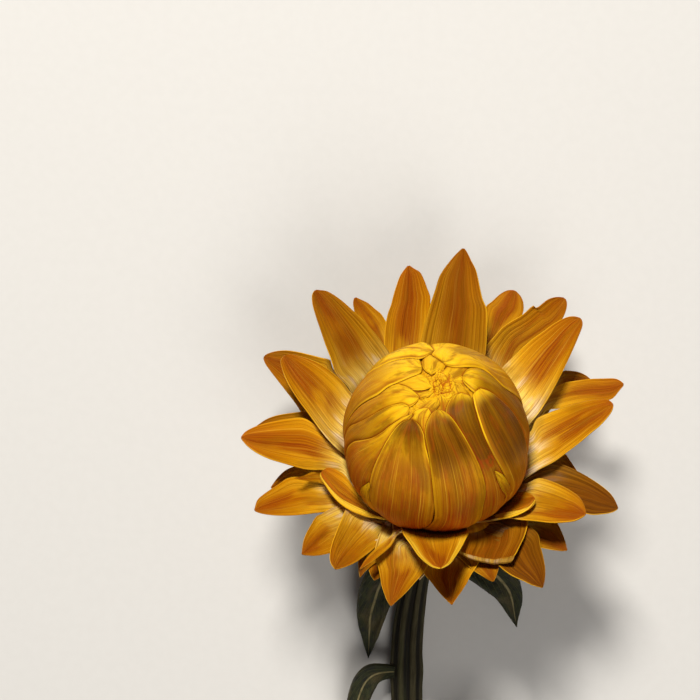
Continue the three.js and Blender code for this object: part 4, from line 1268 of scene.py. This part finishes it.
def make_involucre(material):
    sheaf = Sheaf()
    sheaf.add(chance=0.2, **turned_form([
        (AXIS_GAP, CUP_BOTTOM),
        (NECK_RADIUS + 0.3, CUP_BOTTOM),
        (NECK_RADIUS + 0.6, CUP_BOTTOM + 0.2),
        (2.6, -6.9),
        (3.9, -6.4),
        (5.2, -5.8),
        (6.4, -5.3),
        (7.6, -4.7),
        (8.3, -4.2),
        (8.6, CUP_TOP - 0.1),
        (8.5, CUP_TOP),
        (AXIS_GAP, CUP_TOP),
    ], v_end=0.4))
    rng = np.random.default_rng(9)
    stations, across = 14, 10
    s = np.linspace(0, 1, stations + 1)
    u, facing = section(across)
    for number, whorl in enumerate(SCALE_WHORLS):
        root, tip = np.array(whorl["root"]), np.array(whorl["tip"])
        half = whorl["width"] / 2 * blade_width(s, root_share=0.7, widest_at=0.4, pointed=1.8, tip_share=0.03)
        uu, ss, hh = u[None, :], s[:, None], half[:, None]
        for k in range(whorl["count"]):
            around = 2 * math.pi * (k + number / 2 + 0.3 * rng.random()) / whorl["count"]
            droop = 0.4 * rng.random()
            points, slope = arched(ss, root, (root + tip) / 2 - [0, droop], tip - [0, droop / 2])
            centre, side, face = stood_up(around, points, slope)
            lift = 0.2 * hh * uu ** 2 + 0.05 * ripple(rng, uu, ss, waves=4, rate=5)
            height = lift + facing[None, :] * SCALE_THICKNESS / 2 * np.sqrt(1 - uu ** 6)
            loops = centre[:, None] + side * (uu * hh)[..., None] + face[:, None] * height[..., None]
            sheaf.add(head_to_part(loops), (u + 1) / 2, ss, chance=rng.random(), back=(1 - facing) / 2)
    piece = sheaf.piece("involucre_scales", material)
    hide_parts("involucre")


# Stem

def stem_line():
    """An even crook from the head down to the surface, then a gently wavering run along it"""
    neck = HEAD_PLACE + HEAD_AXIS * (CUP_BOTTOM - JOINING_GAP)
    bend = math.pi / 2 - HEAD_TILT
    radius = (neck[2] - REST_HEIGHT) / (1 - math.cos(bend))
    points = []
    crook_steps = 5
    for i in range(crook_steps):
        left = bend * (1 - i / crook_steps)
        y = neck[1] - radius * (math.sin(bend) - math.sin(left))
        z = neck[2] - radius * (math.cos(left) - math.cos(bend))
        points.append((HEAD_PLACE[0] * smooth(y, 0, neck[1]), y, z))
    run_steps = 9
    for i in range(run_steps + 1):
        along = i / run_steps
        arch = STEM_ARCH * math.sin(math.pi * along) ** 2
        waver = STEM_WAVER * math.sin(2 * math.pi * along) * along
        points.append((-waver, STEM_END * along, REST_HEIGHT + arch))
    return Curve(points)


def stem_radius(y):
    grown = smooth(-y, -14, 1)
    near = sum(bell(y, leaf["joint"], JOINT_LENGTH) for leaf in LEAVES)
    return NECK_RADIUS + (STEM_RADIUS - NECK_RADIUS) * grown + JOINT_SWELLING * np.minimum(near, 1)


def make_stem(line, material):
    rings, sides = 420, 112
    rng = np.random.default_rng(33)
    s = np.linspace(0, 1, rings + 1)
    centre, way = line.at(s), line.way(s)
    side = unit(np.array([1.0, 0, 0]) - way * way[:, :1])
    up = -np.cross(side, way)
    theta = np.linspace(0, 2 * math.pi, sides, endpoint=False)[None, :]
    length = s[:, None]
    main = np.cos(STEM_RIBS * theta + 0.5 * ripple(rng, length, waves=3, rate=8) * smooth(length, 0.0, 0.1))
    fine = 0
    for count in FINE_RIBS:
        drift = ripple(rng, length, waves=4, rate=14) * 1.6
        fine = fine + np.cos(count * theta + drift + rng.uniform(0, 6)) / len(FINE_RIBS)
    knots = ripple(rng, length, np.cos(theta) * 0.4, np.sin(theta) * 0.4, waves=5, rate=22)
    share = (1 + FURROW) / 2 + (1 - FURROW) / 2 * main + 0.065 * fine + 0.012 * knots
    radius = stem_radius(centre[:, 1])[:, None] * np.minimum(share, 1.0)
    angle = theta - math.pi / 2
    loops = centre[:, None] + side[:, None] * (radius * np.cos(angle))[..., None]
    loops = loops + up[:, None] * (radius * np.sin(angle))[..., None]
    loops[-1, :, 1] += STEM_SLANT * (loops[-1, :, 2] - centre[-1, 2])
    loops[..., 1] = np.maximum(loops[..., 1], cad_box[0][1] / MM + 0.02)
    loops[..., 2] = np.maximum(loops[..., 2], 0.0)
    rib = np.clip((share - FURROW) / (1 - FURROW), 0, 1)
    middle = loops[-1].mean(0)
    ends = [middle + (loops[-1] - middle) * fraction + way[-1] * inset for fraction, inset in CUT_END]
    loops = np.concatenate([loops, ends])
    rib = np.concatenate([rib, np.repeat(rib[-1:], len(ends), 0)])
    cut = np.concatenate([np.zeros(rings + 1), [0.2], np.ones(len(ends) - 1)])[:, None]
    v = np.concatenate([s, 1 + 0.002 * np.arange(1, len(ends) + 1)])[:, None]
    u = theta[0] / (2 * math.pi)
    sheaf = Sheaf()
    sheaf.add(loops[:, ::-1], u[::-1], v, age=cut, crease=rib[:, ::-1])
    piece = sheaf.piece("ribbed_stem", material)
    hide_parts("stem")


# Leaves

LEAF_START = 0.06  # of the way from the middle of the stem
LEAF_HOLLOW = 0.34
LEAF_CRINKLE = 0.22
LEAF_RIM_WAVE = 0.30
LEAF_RIM_CURL = 0.5
MIDRIB_GROOVE = 0.12
LEAF_THICKNESS = 0.30
MIDRIB_THICKNESS = 0.35


def stem_point(line, y):
    points = line.at(np.linspace(0, 1, 2001))
    return points[np.argmax(points[:, 1] <= y)]


def make_leaf(number, leaf, line, material):
    rng = np.random.default_rng(50 + number)
    stations, across = 90, 26
    spine = Curve([stem_point(line, leaf["joint"]), *leaf["route"]])
    s = np.linspace(LEAF_START, 1, stations + 1)
    centre, way = spine.at(s), spine.way(s)
    side = -unit(np.cross(UP, way))
    phase = rng.uniform(0, 2 * math.pi)
    low, high = np.radians(leaf["roll"])
    angle = low + (high - low) * s + LEAF_WAVE * np.sin(phase + 3 * math.pi * s)
    rolled_side = turned(side, way, -angle)
    rolled_face = np.cross(rolled_side, way)
    u, facing = section(across)
    uu, ss = u[None, :], s[:, None]
    width = leaf["width"] * blade_width(s, root_share=0.3, widest_at=0.42, pointed=1.9, tip_share=0.02)
    half = (width / 2)[:, None] * (1 + 0.06 * ripple(rng, ss, waves=4, rate=12))
    narrow = np.minimum(half, 1.5) / 1.5
    lift = LEAF_HOLLOW * half * uu ** 2
    lift = lift + LEAF_CRINKLE * ripple(rng, uu * 1.2, ss * 5, waves=6, rate=3) * narrow
    lift = lift + LEAF_RIM_WAVE * ripple(rng, ss, waves=4, rate=13) * uu ** 3 * narrow
    lift = lift - MIDRIB_GROOVE * bell(uu, 0, 0.09)
    lift = lift - LEAF_RIM_CURL * half * smooth(np.abs(uu), 0.72, 1.0) ** 2
    thickness = LEAF_THICKNESS + MIDRIB_THICKNESS * bell(uu, 0, 0.10) * (1 - 0.7 * ss)
    thickness = thickness * np.sqrt(1 - uu ** 8)
    height = lift + np.where(facing > 0, 0.4, -0.6) * np.abs(facing) * thickness
    loops = centre[:, None] + rolled_side[:, None] * (uu * half)[..., None]
    loops = loops + rolled_face[:, None] * height[..., None]
    loops[..., 2] = np.maximum(loops[..., 2], 0.02)
    sheaf = Sheaf()
    sheaf.add(loops, (u + 1) / 2, ss, chance=rng.random(), back=(1 - facing) / 2)
    piece = sheaf.piece(f"leaf_blade_{number}", material)
    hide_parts(f"leaf_{number}")


# Camera, light and floor

def make_camera():
    data = bpy.data.cameras.new("camera")
    data.lens = LENS
    data.sensor_width = SENSOR
    data.clip_start = 0.005
    camera = placed("camera", data)
    camera.location = CAMERA_PLACE * MM
    bpy.context.scene.camera = camera


def area_light(name, place, size, power, colour):
    """A round lamp that shines on the head"""
    data = bpy.data.lights.new(name, "AREA")
    data.shape = "DISK"
    data.size = size
    data.energy = power
    data.color = colour
    lamp = placed(name, data)
    back = unit(np.array(place) - HEAD_PLACE * MM)
    lamp.location = place
    lamp.rotation_euler = (math.acos(back[2]), 0, math.atan2(back[1], back[0]) + math.pi / 2)


def make_studio():
    floor = bpy.data.meshes.new("floor")
    reach = 1.5
    corners = [(-reach, -reach, 0), (reach, -reach, 0), (reach, reach, 0), (-reach, reach, 0)]
    floor.from_pydata(corners, [], [(0, 1, 2, 3)])
    floor.materials.append(floor_material())
    ground = placed("floor", floor)
    area_light("key_light", (-0.07, 0.33, 0.42), size=0.13, power=3.8, colour=(1.0, 0.96, 0.90))
    area_light("fill_light", (0.12, -0.30, 0.40), size=0.30, power=1.3, colour=(1.0, 0.97, 0.93))
    world = bpy.data.worlds.new("studio")
    world.use_nodes = True
    background = world.node_tree.nodes["Background"]
    background.inputs["Color"].default_value = (0.90, 0.93, 1.0, 1.0)
    background.inputs["Strength"].default_value = 0.09
    bpy.context.scene.world = world
    bpy.context.scene.view_settings.view_transform = "Standard"


make_camera()
make_studio()
ray_paper = ray_material()
dome_paper = dome_material()
make_dome(dome_paper)
make_rays(ray_paper)
make_disc(ray_paper)
make_involucre(scale_material())
line = stem_line()
make_stem(line, stem_material())
leaf_green = leaf_material()
for number, leaf in enumerate(LEAVES, 1):
    make_leaf(number, leaf, line, leaf_green)
